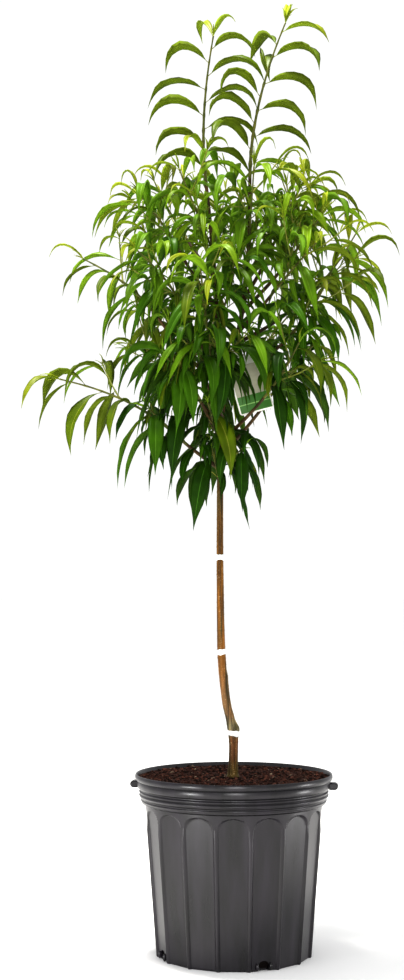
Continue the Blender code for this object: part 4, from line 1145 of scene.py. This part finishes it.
def growTree():
    # Every limb's bough, twigs and leaves, in the frame's own order
    crowd = Crowd()
    crowd.addNode("trunk", "trunk")
    stems = {"trunk": Stem(*trunkSolid())}
    shoots = {}
    for name, limb in limbs.items():
        if limb.boughTip:
            stems[name] = boughStem(name, limb, stems[limb.parent])
            crowd.addNode("bough_" + name, "bough_" + name)
        shoots[name] = shootStem(limb, stems.get(name), stems[limb.parent])
    crowd.addNode("tag", "tag")
    for name, shoot in shoots.items():
        for a, b, radius in zip(shoot.points, shoot.points[1:], shoot.radii):
            crowd.add(name, *boxRound(a, b, radius))
    twigs, leaves = {}, {}
    for name, limb in limbs.items():
        twigs[name] = growTwigs(name, limb, shoots[name], crowd)
        for line, width in twigs[name][1:]:
            start = line[0].lerp(line[-1], habit["twigClear"])
            crowd.add(name, *boxRound(start, line[-1], habit["twigRadii"][0]))
    for name, limb in limbs.items():
        leaves[name] = growLeaves(name, limb, twigs[name], crowd)
    return stems, twigs, leaves


stems, twigs, leaves = growTree()
print("grown:", sum(len(group) for group in leaves.values()), "leaves")


spurs = dict(
    spacing=0.0145, jitter=(0.2, 0.8), length=(0.010, 0.034), radii=(0.0009, 0.0006), opening=(38, 70),
    firstTurn=60, lift=0.2, outward=0.35, arch=0.001,
    leaves=(2, 3), leafLength=(0.034, 0.092), leafOpening=(25, 75), leafHang=0.15, leafOutward=0.3,
    leafApart=0.3, leafYouth=0.15, leafDroop=0.95,
    reach=0.64, top=1.15,  # they fill the crown's middle and leave its edge open
    # leaves of one limb that hang before the label: share along its shoot, bearing, length
    veilLimb="front_low",
    veil=[(0.30, 20.0, 0.088), (0.42, -15.0, 0.100), (0.55, 40.0, 0.095), (0.66, 5.0, 0.090),
          (0.36, -40.0, 0.085)],
    # a small leaf: how its width follows its length, and how its droop, roll and sway vary
    widthPower=0.92, droopVaries=(0.85, 1.05), roll=45, sway=0.3,
)


def smallLeaf(root, heading, length, light, youth, dice, hang, slender=1.0):
    # A leaf of the same habit as the large ones, narrower for its length the smaller it is
    halfWidth = habit["leafHalfWidth"] * (length / habit["leafLength"]) ** spurs["widthPower"] * slender
    droop = hang * dice.uniform(*spurs["droopVaries"])
    power = habit["droopPower"][0] + habit["droopPower"][1] * light
    roll = dice.uniform(-spurs["roll"], spurs["roll"])
    sway = dice.uniform(-spurs["sway"], spurs["sway"])
    return bendLeaf(root, heading, length, halfWidth, droop, power, roll, sway, light, youth)


def growSpurs(name, limb, lines):
    # Finer twigs that the frame is too coarse to hold, each with two or three smaller leaves
    twiglets, extra = [], []
    if name.startswith("leader"):
        return twiglets, extra
    for number, (line, width) in enumerate(lines):
        total = lineLengths(line)[-1]
        for k in range(int(total / spurs["spacing"])):
            dice = random.Random(f"{name}-{number}-spur-{k}")
            root, run = along(line, (k + dice.uniform(*spurs["jitter"])) * spurs["spacing"])
            height, light, outward = lightAt(root)
            if outward.length > spurs["reach"] or root.z > spurs["top"]:
                continue
            turn = limb.turn + spurs["firstTurn"] + k * habit["leafTurn"]
            heading = aim(run, math.radians(dice.uniform(*spurs["opening"])), turn) + up * spurs["lift"]
            heading = unit(heading + outward * spurs["outward"])
            tip = root + heading * dice.uniform(*spurs["length"])
            twiglets.append([root, root.lerp(tip, 0.5) + up * spurs["arch"], tip])
            for n in range(dice.randint(*spurs["leaves"])):
                length = dice.uniform(*spurs["leafLength"])
                opening = math.radians(dice.uniform(*spurs["leafOpening"]))
                spread = aim(heading, opening, turn + n * habit["leafTurn"])
                spread += up * (habit["reachUp"] * light - spurs["leafHang"])
                spread = unit(spread + outward * spurs["leafOutward"])
                start = root.lerp(tip, 1 - spurs["leafApart"] * n)
                leaf = smallLeaf(start, spread, length, light, spurs["leafYouth"], dice, spurs["leafDroop"])
                if distanceToLine(leaf.places[-1], lines[0][0]) < habit["shootRoom"]:
                    extra.append(leaf)
    if name == spurs["veilLimb"]:
        line = lines[0][0]
        for share, bearing, length in spurs["veil"]:
            dice = random.Random(f"veil-{share}")
            root, run = along(line, lineLengths(line)[-1] * share)
            heading = around(1.0, math.radians(bearing), 0.0)
            extra.append(smallLeaf(root, heading, length, 0.2, 0.0, dice, 1.0))
    return twiglets, extra


fine = {name: growSpurs(name, limb, twigs[name]) for name, limb in limbs.items()}
print("spurs:", sum(len(twiglets) for twiglets, extra in fine.values()))


wood = dict(
    boughRadii=(0.0032, 0.0022), leaderRadii=(0.0042, 0.0026), shootTip=0.0010,
    bareShoot=0.0017, twigRadii=(0.0013, 0.0008), step=0.006, sides=(14, 8, 5),
    collar=0.45, collarLength=0.007, bumps=(260, 0.05), budSwell=0.45, budHalf=0.004, twigFoot=(0.6, 0.006),
    boughHex=("#382c18", "#5e4824"), shootHex=("#424c1c", "#6a6a2c"), twigHex=("#5c6c28", "#848434"),
)


def smoothLine(points, step):
    # Points at a close step on a smooth curve through a line, with their share of its length
    lengths = lineLengths(points)
    count = max(2, int(lengths[-1] / step))
    result = []
    for k in range(count + 1):
        distance = lengths[-1] * k / count
        for n in range(len(points) - 1):
            if distance <= lengths[n + 1] or n == len(points) - 2:
                share = (distance - lengths[n]) / (lengths[n + 1] - lengths[n])
                result.append((Vector(spline(points, n + share)), k / count))
                break
    return result


def sweep(places, radii, sides, kind):
    # A round tube along places, its frame carried along without twist, closed at both ends
    points, uvs = [], []
    side = None
    last = len(places) - 1
    lengths = lineLengths(places)
    for k, place in enumerate(places):
        run = unit(places[min(k + 1, last)] - places[max(k - 1, 0)])
        side = unit(run.orthogonal()) if side is None else unit(side - run * side.dot(run))
        other = run.cross(side)
        for j in range(sides):
            turn = math.tau * j / sides
            points.append(place + (side * math.cos(turn) + other * math.sin(turn)) * radii[k])
            uvs.append((j / sides, lengths[k] * 20))
    faces = gridFaces(last + 1, sides)
    points += [places[0], places[-1]]
    uvs += [(0.5, 0.0), (0.5, lengths[-1] * 20)]
    start, end = len(points) - 2, len(points) - 1
    faces += capFaces(start, 0, sides, flipped=True) + capFaces(end, last * sides, sides)
    return points, faces, [kind] * len(faces), uvs


def shootBark(name, codes, rough):
    # Green shoot skin that has browned in patches, faintly streaked along the stem
    material, tree, shader = newMaterial(name)
    where = addNode(tree, "ShaderNodeTexCoord").outputs["Object"]
    streak = addNode(tree, "ShaderNodeTexNoise", {"Vector": where, "Scale": 70.0, "Detail": 4.0})
    ramp = addNode(tree, "ShaderNodeValToRGB", {"Fac": streak.outputs["Fac"]})
    setStops(ramp, [(0.35, codes[0]), (0.68, codes[1])])
    pores = addNode(tree, "ShaderNodeTexNoise", {"Vector": where, "Scale": 650.0, "Detail": 3.0})
    relief = addNode(tree, "ShaderNodeBump", {"Height": pores.outputs["Fac"], "Strength": 0.3,
                                              "Distance": 0.0004})
    setSockets(tree, shader, {"Base Color": ramp.outputs["Color"], "Normal": relief.outputs["Normal"],
                              "Roughness": rough, "Specular IOR Level": 0.2})
    return material


def boughShape(name, limb):
    # A bough swells where it leaves its parent, and its bark is a little uneven
    first, last = wood["leaderRadii"] if name.startswith("leader") else wood["boughRadii"]
    parentRadius = stemAt(stems[limb.parent], limb.at)[1] if limb.at else 0.0
    smooth = smoothLine(stems[name].points, wood["step"] / 2)
    places = [place for place, share in smooth]
    size, depth = wood["bumps"]
    radii = []
    for (place, share), distance in zip(smooth, lineLengths(places)):
        beyond = max(0.0, distance - parentRadius)
        swell = wood["collar"] * math.exp(-beyond / wood["collarLength"]) if limb.at else 0.0
        radii.append(blend(first, last, share) * (1 + swell + noise.noise(place * size) * depth))
    return places, radii


def twigShape(name, limb, number, line):
    # A shoot or twig swells at each leaf, and a twig also where it leaves its shoot
    smooth = smoothLine(line, wood["step"])
    places = [place for place, share in smooth]
    if number:
        first, last = wood["twigRadii"]
    elif limb.boughTip:
        bough = wood["leaderRadii"] if name.startswith("leader") else wood["boughRadii"]
        first, last = bough[1], wood["shootTip"]
        places[0] = stems[name].points[-1]
    else:
        first, last = wood["bareShoot"], wood["shootTip"]
    lengths = lineLengths(places)
    buds = leafRoots(name, number, lengths[-1])
    proud, foot = wood["twigFoot"]
    radii = []
    for (place, share), distance in zip(smooth, lengths):
        swell = sum(max(0.0, 1 - abs(distance - at) / wood["budHalf"]) for at in buds) * wood["budSwell"]
        own = blend(first, last, share) * (1 + min(swell, wood["budSwell"]))
        if number and distance < foot:
            own *= 1 + proud * (1 - distance / foot)
        radii.append(own)
    return places, radii


def makeWood():
    boughPile, twigPile = Pile(), Pile()
    boughSides, twigSides, spurSides = wood["sides"]
    for name, limb in limbs.items():
        if limb.boughTip:
            boughPile.add(*sweep(*boughShape(name, limb), boughSides, 0))
        for number, (line, width) in enumerate(twigs[name]):
            twigPile.add(*sweep(*twigShape(name, limb, number, line), twigSides, 1 if number else 0))
        for twiglet in fine[name][0]:
            twigPile.add(*sweep(twiglet, taper(*spurs["radii"], 3), spurSides, 1))
    boughPile.build("bough_bark", [shootBark("bough_skin", wood["boughHex"], 0.55)], "bark",
                    ["bough_" + name for name, limb in limbs.items() if limb.boughTip])
    skins = [shootBark("shoot_skin", wood["shootHex"], 0.5), shootBark("twig_skin", wood["twigHex"], 0.5)]
    twigPile.build("twig_bark", skins, "bark", ["leaves_" + name for name in limbs])


makeWood()
print("boughs and twigs")


foliage = dict(
    columns=(-1.0, -0.66, -0.32, -0.05, 0.05, 0.32, 0.66, 1.0),
    stations=(0.0, 0.08, 0.115, 0.17, 0.24, 0.32, 0.41, 0.51, 0.61, 0.71, 0.80, 0.88, 0.945, 1.0),
    fold=(math.radians(20), math.radians(50)), curl=0.30, wave=0.10, tipCurl=0.07,
    stalk=(0.06, 0.16), tip=(0.70, 0.96), tipPinch=0.45,
    slimmer=(0.16, 0.17),  # how much narrower than the frame's leaf: in full light, and half way
    slimFrom=(0.86, 1.00), leaderAbove=1.225, leaderWider=1.12, youngSlimmer=0.40,
    stalkRadius=0.0007, ribRadius=0.00055,
    # the unfolding leaves at the tips: number, length, how closed, how upright, and their light and youth
    tuftCount=(3, 5), tuftLeaf=(0.012, 0.038), tuftTwig=0.75, tuftCone=(8, 30), tuftUp=0.35,
    tuftLight=0.5, tuftYouth=0.7, tuftDroop=0.45, tuftSlender=0.9,
    # a leaf's sun is its light, with something for youth and for standing out of the crown
    sunYouth=0.55, sunOut=(0.75, 0.8), sunSpread=0.16,
    sunFrom=(("young", 1.48), ("tip", 1.08), ("sun", 0.86), ("outer", 0.58), ("inner", 0.28)),
    clearFrom=0.62, clearLight=0.33, clearSpread=0.15, clearYouth=0.4, clearOdds=0.05,
    # from the youngest leaves in full sun to the oldest in shade, partly the leaves' own colour and partly
    # painted light and shade: upper side, underside, light through
    tints={
        "young": ("#a4ae22", "#98a42c", "#bece36"),
        "tip": ("#88921a", "#829426", "#a8bc2c"),
        "sun": ("#7a9817", "#7c9a23", "#a2c824"),
        "clear": ("#5a6e0d", "#677818", "#8ca024"),
        "outer": ("#618512", "#66881e", "#84b21c"),
        "inner": ("#41690a", "#4c7016", "#629614"),
        "shade": ("#254706", "#365310", "#46740c"),
    },
    # the rib of each tint, in the same order, darker with the shaded tints as painted shade
    ribHex=("#b8c44a", "#a8b43e", "#96a836", "#8e9434", "#809c32", "#628c28", "#4a7a22"),
)


def leafSkin(name, upper, glow, rough, veined):
    # A living leaf: waxy skin with a soft gloss, veined, with green light coming through it
    material, tree, shader = newMaterial(name)
    where = addNode(tree, "ShaderNodeTexCoord")
    mottle = addNode(tree, "ShaderNodeTexNoise", {"Vector": where.outputs["Object"], "Scale": 38.0,
                                                  "Detail": 3.0})
    shade = addNode(tree, "ShaderNodeMapRange", {"Value": mottle.outputs["Fac"], "From Min": 0.3,
                                                 "From Max": 0.7, "To Min": 0.72, "To Max": 1.22})
    tone = addNode(tree, "ShaderNodeVectorMath", {0: hexColour(upper)[:3], 1: shade.outputs["Result"]},
                   operation="MULTIPLY")
    setSockets(tree, shader, {"Base Color": tone.outputs["Vector"], "Roughness": rough, "IOR": 1.45,
                              "Specular IOR Level": 0.14})
    if veined:
        # side veins 4 mm apart that leave the rib at an angle
        place = addNode(tree, "ShaderNodeSeparateXYZ", {"Vector": where.outputs["UV"]})
        off = addNode(tree, "ShaderNodeMath", {0: place.outputs["X"], 1: 0.5}, operation="SUBTRACT")
        away = addNode(tree, "ShaderNodeMath", {0: off.outputs["Value"]}, operation="ABSOLUTE")
        lean = addNode(tree, "ShaderNodeMath", {0: away.outputs["Value"], 1: 4.2}, operation="MULTIPLY")
        rise = addNode(tree, "ShaderNodeMath", {0: place.outputs["Y"], 1: 26.0}, operation="MULTIPLY")
        run = addNode(tree, "ShaderNodeMath", {0: rise.outputs["Value"], 1: lean.outputs["Value"]},
                      operation="SUBTRACT")
        fold = addNode(tree, "ShaderNodeMath", {0: run.outputs["Value"], 1: 0.5}, operation="PINGPONG")
        relief = addNode(tree, "ShaderNodeBump", {"Height": fold.outputs["Value"], "Strength": 0.14,
                                                  "Distance": 0.0006})
        setSockets(tree, shader, {"Normal": relief.outputs["Normal"]})
    through = addNode(tree, "ShaderNodeBsdfTranslucent", {"Color": hexColour(glow)})
    both = addNode(tree, "ShaderNodeMixShader", {0: 0.28, 1: shader.outputs["BSDF"],
                                                 2: through.outputs["BSDF"]})
    setSockets(tree, tree.nodes["Material Output"], {"Surface": both.outputs["Shader"]})
    return material


def leafSurface(leaf, dice):
    # One blade: the upper side in strips beside its rib, the underside down to the rib's keel
    points, places, faces, kinds = [], [], [], []
    steps = habit["leafSteps"]
    columns = foliage["columns"]
    fold = blend(*foliage["fold"], leaf.light)
    waves, phase = dice.uniform(1.5, 3.2), dice.uniform(0, math.tau)
    skew = dice.uniform(-0.10, 0.10)
    length = (leaf.places[1] - leaf.places[0]).length * steps
    aside = dice.uniform(-1, 1) * foliage["tipCurl"] * length
    lit, half = foliage["slimmer"]
    half *= ease(*foliage["slimFrom"], leaf.places[0].z)
    slim = leaf.halfWidth * (1 - lit * leaf.light - half * 4 * leaf.light * (1 - leaf.light))
    if leaf.places[0].z > foliage["leaderAbove"]:
        slim = leaf.halfWidth * foliage["leaderWider"]
    slim *= 1 - foliage["youngSlimmer"] * leaf.youth
    wide = len(columns) + 1
    last = len(foliage["stations"]) - 1
    for n, t in enumerate(foliage["stations"][:-1]):
        place = Vector(spline(leaf.places, t * steps))
        k = min(int(t * steps), steps - 1)
        share = t * steps - k
        side = unit(leaf.sides[k].lerp(leaf.sides[k + 1], share))
        top = unit(leaf.tops[k].lerp(leaf.tops[k + 1], share))
        place += side * aside * (2 * max(0.0, t - 0.5)) ** 2
        pinch = 1 - foliage["tipPinch"] * ease(*foliage["tip"], t)
        width = max(slim * leafWidth(t) * pinch, foliage["stalkRadius"])
        stalk = ease(*foliage["stalk"], t)
        for column in columns:
            reach = abs(column)
            angle = fold * (1 - foliage["curl"] * reach * reach) * (0.45 + 0.55 * stalk)
            out = width * reach * math.cos(angle) * (1 + skew * (1 if column > 0 else -1))
            wave = foliage["wave"] * width * math.sin(math.tau * (t * waves) + phase + column)
            rise = width * reach * math.sin(angle) + wave * reach ** 2 * stalk
            points.append(place + side * math.copysign(out, column) + top * rise)
            places.append((column / 2 + 0.5, t))
        keel = foliage["ribRadius"] * (1.25 - t) + 0.04 * width
        points.append(place - top * keel)
        places.append((0.5, t))
        if n:
            a, b = (n - 1) * wide, n * wide
            for j in range(len(columns) - 1):
                faces.append((a + j, a + j + 1, b + j + 1, b + j))
                kinds.append(2 if j == 3 or n == 1 else 0)
            faces.append((a, b, b + wide - 1, a + wide - 1))
            faces.append((a + wide - 1, b + wide - 1, b + wide - 2, a + wide - 2))
            kinds += [1, 1] if n > 1 else [2, 2]
    tip = len(points)
    points.append(leaf.places[-1] + leaf.sides[-1] * aside)
    places.append((0.5, 1.0))
    a = (last - 1) * wide
    for j in range(len(columns) - 1):
        faces.append((a + j, a + j + 1, tip))
        kinds.append(2 if j == 3 else 0)
    faces += [(a, tip, a + wide - 1), (a + wide - 1, tip, a + wide - 2)]
    kinds += [1, 1]
    faces.append(tuple(reversed(range(len(columns)))) + (wide - 1,))
    kinds.append(2)
    return points, faces, kinds, places


def tintOf(leaf, dice):
    # Sunny and young leaves are yellow-green, old ones in the shade deep green, and old ones that
    # stand clear of the crown olive; since the tint follows the leaf's light in the crown, it is partly
    # painted light and shade, and the leaves deep in the crown are painted darker as painted shade
    root = leaf.places[0]
    far = math.hypot(root.x - habit["axisDrift"], root.y) / habit["crownRadius"]
    out, share = foliage["sunOut"]
    spread, blur = foliage["sunSpread"], foliage["clearSpread"]
    sun = leaf.light + foliage["sunYouth"] * leaf.youth + share * max(0.0, far - out)
    sun += dice.uniform(-spread, spread)
    edge = foliage["clearFrom"] + foliage["clearLight"] * leaf.light + dice.uniform(-blur, blur)
    if leaf.youth < foliage["clearYouth"] and (far > edge or root.z > foliage["leaderAbove"]
                                               or dice.random() < foliage["clearOdds"]):
        return "clear"
    for name, least in foliage["sunFrom"]:
        if sun > least:
            return name
    return "shade"


def tufts(name, limb, lines):
    # The unfolding leaves at each shoot's and twig's tip: small, upright and yellow-green
    extra = []
    for number, (line, width) in enumerate(lines):
        dice = random.Random(f"{name}-{number}-tuft")
        run = unit(line[-1] - line[-2])
        height, light, outward = lightAt(line[-1])
        grown = foliage["tuftTwig"] if number else 1.0
        for k in range(dice.randint(*foliage["tuftCount"])):
            length = dice.uniform(*foliage["tuftLeaf"]) * grown
            opening = math.radians(dice.uniform(*foliage["tuftCone"]))
            heading = aim(run, opening, limb.turn + k * habit["leafTurn"])
            heading = unit(heading + up * foliage["tuftUp"])
            extra.append(smallLeaf(line[-1], heading, length, max(light, foliage["tuftLight"]),
                                   foliage["tuftYouth"], dice, foliage["tuftDroop"],
                                   foliage["tuftSlender"]))
    return extra


def makeFoliage():
    piles = {tint: Pile() for tint in foliage["tints"]}
    small = 0
    for name, limb in limbs.items():
        extra = fine[name][1] + tufts(name, limb, twigs[name])
        small += len(extra)
        for number, leaf in enumerate(leaves[name] + extra):
            dice = random.Random(f"{name}-blade-{number}")
            piles[tintOf(leaf, dice)].add(*leafSurface(leaf, dice))
    replaced = ["leaves_" + name for name in limbs]
    for (tint, pile), rib in zip(piles.items(), foliage["ribHex"]):
        upper, under, glow = foliage["tints"][tint]
        skins = [leafSkin(f"{tint}_leaf_upper_side", upper, glow, 0.42, True),
                 leafSkin(f"{tint}_leaf_underside", under, glow, 0.62, False),
                 leafSkin(f"{tint}_leaf_rib", rib, glow, 0.50, False)]
        piece = pile.build(f"{tint}_leaves", skins, "leaf", replaced)
        print(" ", piece.name, len(piece.data.polygons), "faces")
    print("leaves:", small, "small ones between the others")


makeFoliage()


tag = dict(
    size=(0.0560, 0.0900, 0.0009), corner=0.0050, top=(0.0130, -0.0330, 0.9180), yaw=-78.0, tilt=16.0,
    bevel=0.00018, bow=0.0022, cornerSteps=6, ink=0.00006,
    loopHeight=0.9380, loopHalfWidth=0.0085, loopRadius=0.0010, loopSteps=48, loopSides=8,
    border=0.0024, bandTop=0.0260, streak=(0.0120, 0.0135), bareTop=0.012,
    card="#e9e8e0", panel="#a7a591", band="#3f7429", streakHex="#8db96a",
)


def printedCard(name, code):
    # Matt printed polypropylene card with a faint fibre in its surface
    material, tree, shader = newMaterial(name)
    where = addNode(tree, "ShaderNodeTexCoord").outputs["Object"]
    fibre = addNode(tree, "ShaderNodeTexNoise", {"Vector": where, "Scale": 140.0, "Detail": 3.0})
    shade = addNode(tree, "ShaderNodeMapRange", {"Value": fibre.outputs["Fac"], "To Min": 0.86,
                                                 "To Max": 1.1})
    tone = addNode(tree, "ShaderNodeVectorMath", {0: hexColour(code)[:3], 1: shade.outputs["Result"]},
                   operation="MULTIPLY")
    setSockets(tree, shader, {"Base Color": tone.outputs["Vector"], "Roughness": 0.5})
    return material


def makeTag():
    # A card with rounded corners; its front is a plain panel and band inside a white border
    width, height, thickness = tag["size"]
    corner, border, bevel, steps = tag["corner"], tag["border"], tag["bevel"], tag["cornerSteps"]
    tilt = Matrix.Rotation(math.radians(tag["tilt"]), 4, "Z")
    lay = (Matrix.Translation(tag["top"]) @ standUp(tag["yaw"]) @ tilt
           @ Matrix.Translation((0.0, -height / 2, 0.0)))

    def rounded(inset, radius):
        outline = []
        for k, (x, y) in enumerate(((1, 1), (-1, 1), (-1, -1), (1, -1))):
            for step in range(steps + 1):
                angle = math.radians(k * 90 + step * 90 / steps)
                outline.append((x * (width / 2 - inset - radius) + radius * math.cos(angle),
                                y * (height / 2 - inset - radius) + radius * math.sin(angle)))
        return outline

    def bowed(x, y, z):
        # the card hangs a little curved across its width
        return lay @ Vector((x, y, z - tag["bow"] * (2 * x / width) ** 2))

    pile = Pile()
    layers = [(bevel, -thickness / 2), (0.0, -thickness / 2 + bevel), (0.0, thickness / 2 - bevel),
              (bevel, thickness / 2)]
    count = len(rounded(0, corner))
    points = [bowed(x, y, z) for inset, z in layers for x, y in rounded(inset, corner - inset)]
    faces = gridFaces(len(layers), count)
    points += [bowed(0.0, 0.0, -thickness / 2), bowed(0.0, 0.0, thickness / 2)]
    faces += capFaces(len(points) - 2, 0, count, flipped=True)
    faces += capFaces(len(points) - 1, (len(layers) - 1) * count, count)
    pile.add(points, faces, 0)
    # the printed fields from the bottom up: where each ends above the border, and its material
    low, high = -height / 2 + border, height / 2 - border
    edges = [low] + [low + rise for rise in (*tag["streak"], tag["bandTop"])] + [high - tag["bareTop"]]
    across = [width * (k / 8 - 0.5) * (1 - 2 * border / width) for k in range(9)]
    for bottom, upper, kind in zip(edges, edges[1:], (2, 3, 2, 1)):
        points = [bowed(x, y, thickness / 2 + tag["ink"]) for y in (bottom, upper) for x in across]
        pile.add(points, gridFaces(2, len(across), wrapped=False), kind)
    prints = (("printed_card_border", "card"), ("printed_card_panel", "panel"),
              ("printed_green_band", "band"), ("printed_pale_streak", "streakHex"))
    materials = [printedCard(name, tag[field]) for name, field in prints]
    pile.build("tag_card", materials, "tag_card", ["tag"])
    makeLoop(materials[0])


def makeLoop(material):
    # The tag's own loop, from its top edge round the bark of the leader and back
    peak = Vector(tag["top"]) - up * tag["loopRadius"]
    bark, radius = stemAt(stems["leader_right"], tag["loopHeight"])
    away = unit(Vector((bark.x - peak.x, bark.y - peak.y, 0.0)))
    behind = bark + away * (radius + tag["loopRadius"] + habit["clearance"] * 2)
    middle, half = (behind + peak) / 2, (behind - peak) / 2
    across = unit(half.cross(up)) * tag["loopHalfWidth"]
    count, sides = tag["loopSteps"], tag["loopSides"]
    points = []
    for k in range(count):
        turn = math.tau * k / count
        place = middle + half * math.cos(turn) + across * math.sin(turn)
        run = unit(across * math.cos(turn) - half * math.sin(turn))
        outward = unit(half * math.cos(turn) + across * math.sin(turn))
        outward = unit(outward - run * outward.dot(run))
        other = run.cross(outward)
        for j in range(sides):
            angle = math.tau * j / sides
            points.append(place + (outward * math.cos(angle) + other * math.sin(angle)) * tag["loopRadius"])
    last = (count - 1) * sides
    faces = gridFaces(count, sides)
    faces += [(last + j, last + (j + 1) % sides, (j + 1) % sides, j) for j in range(sides)]
    pile = Pile()
    pile.add(points, faces, 0)
    pile.build("tag_loop", [material], "tag_card", ["tag"])


makeTag()
print("tag")
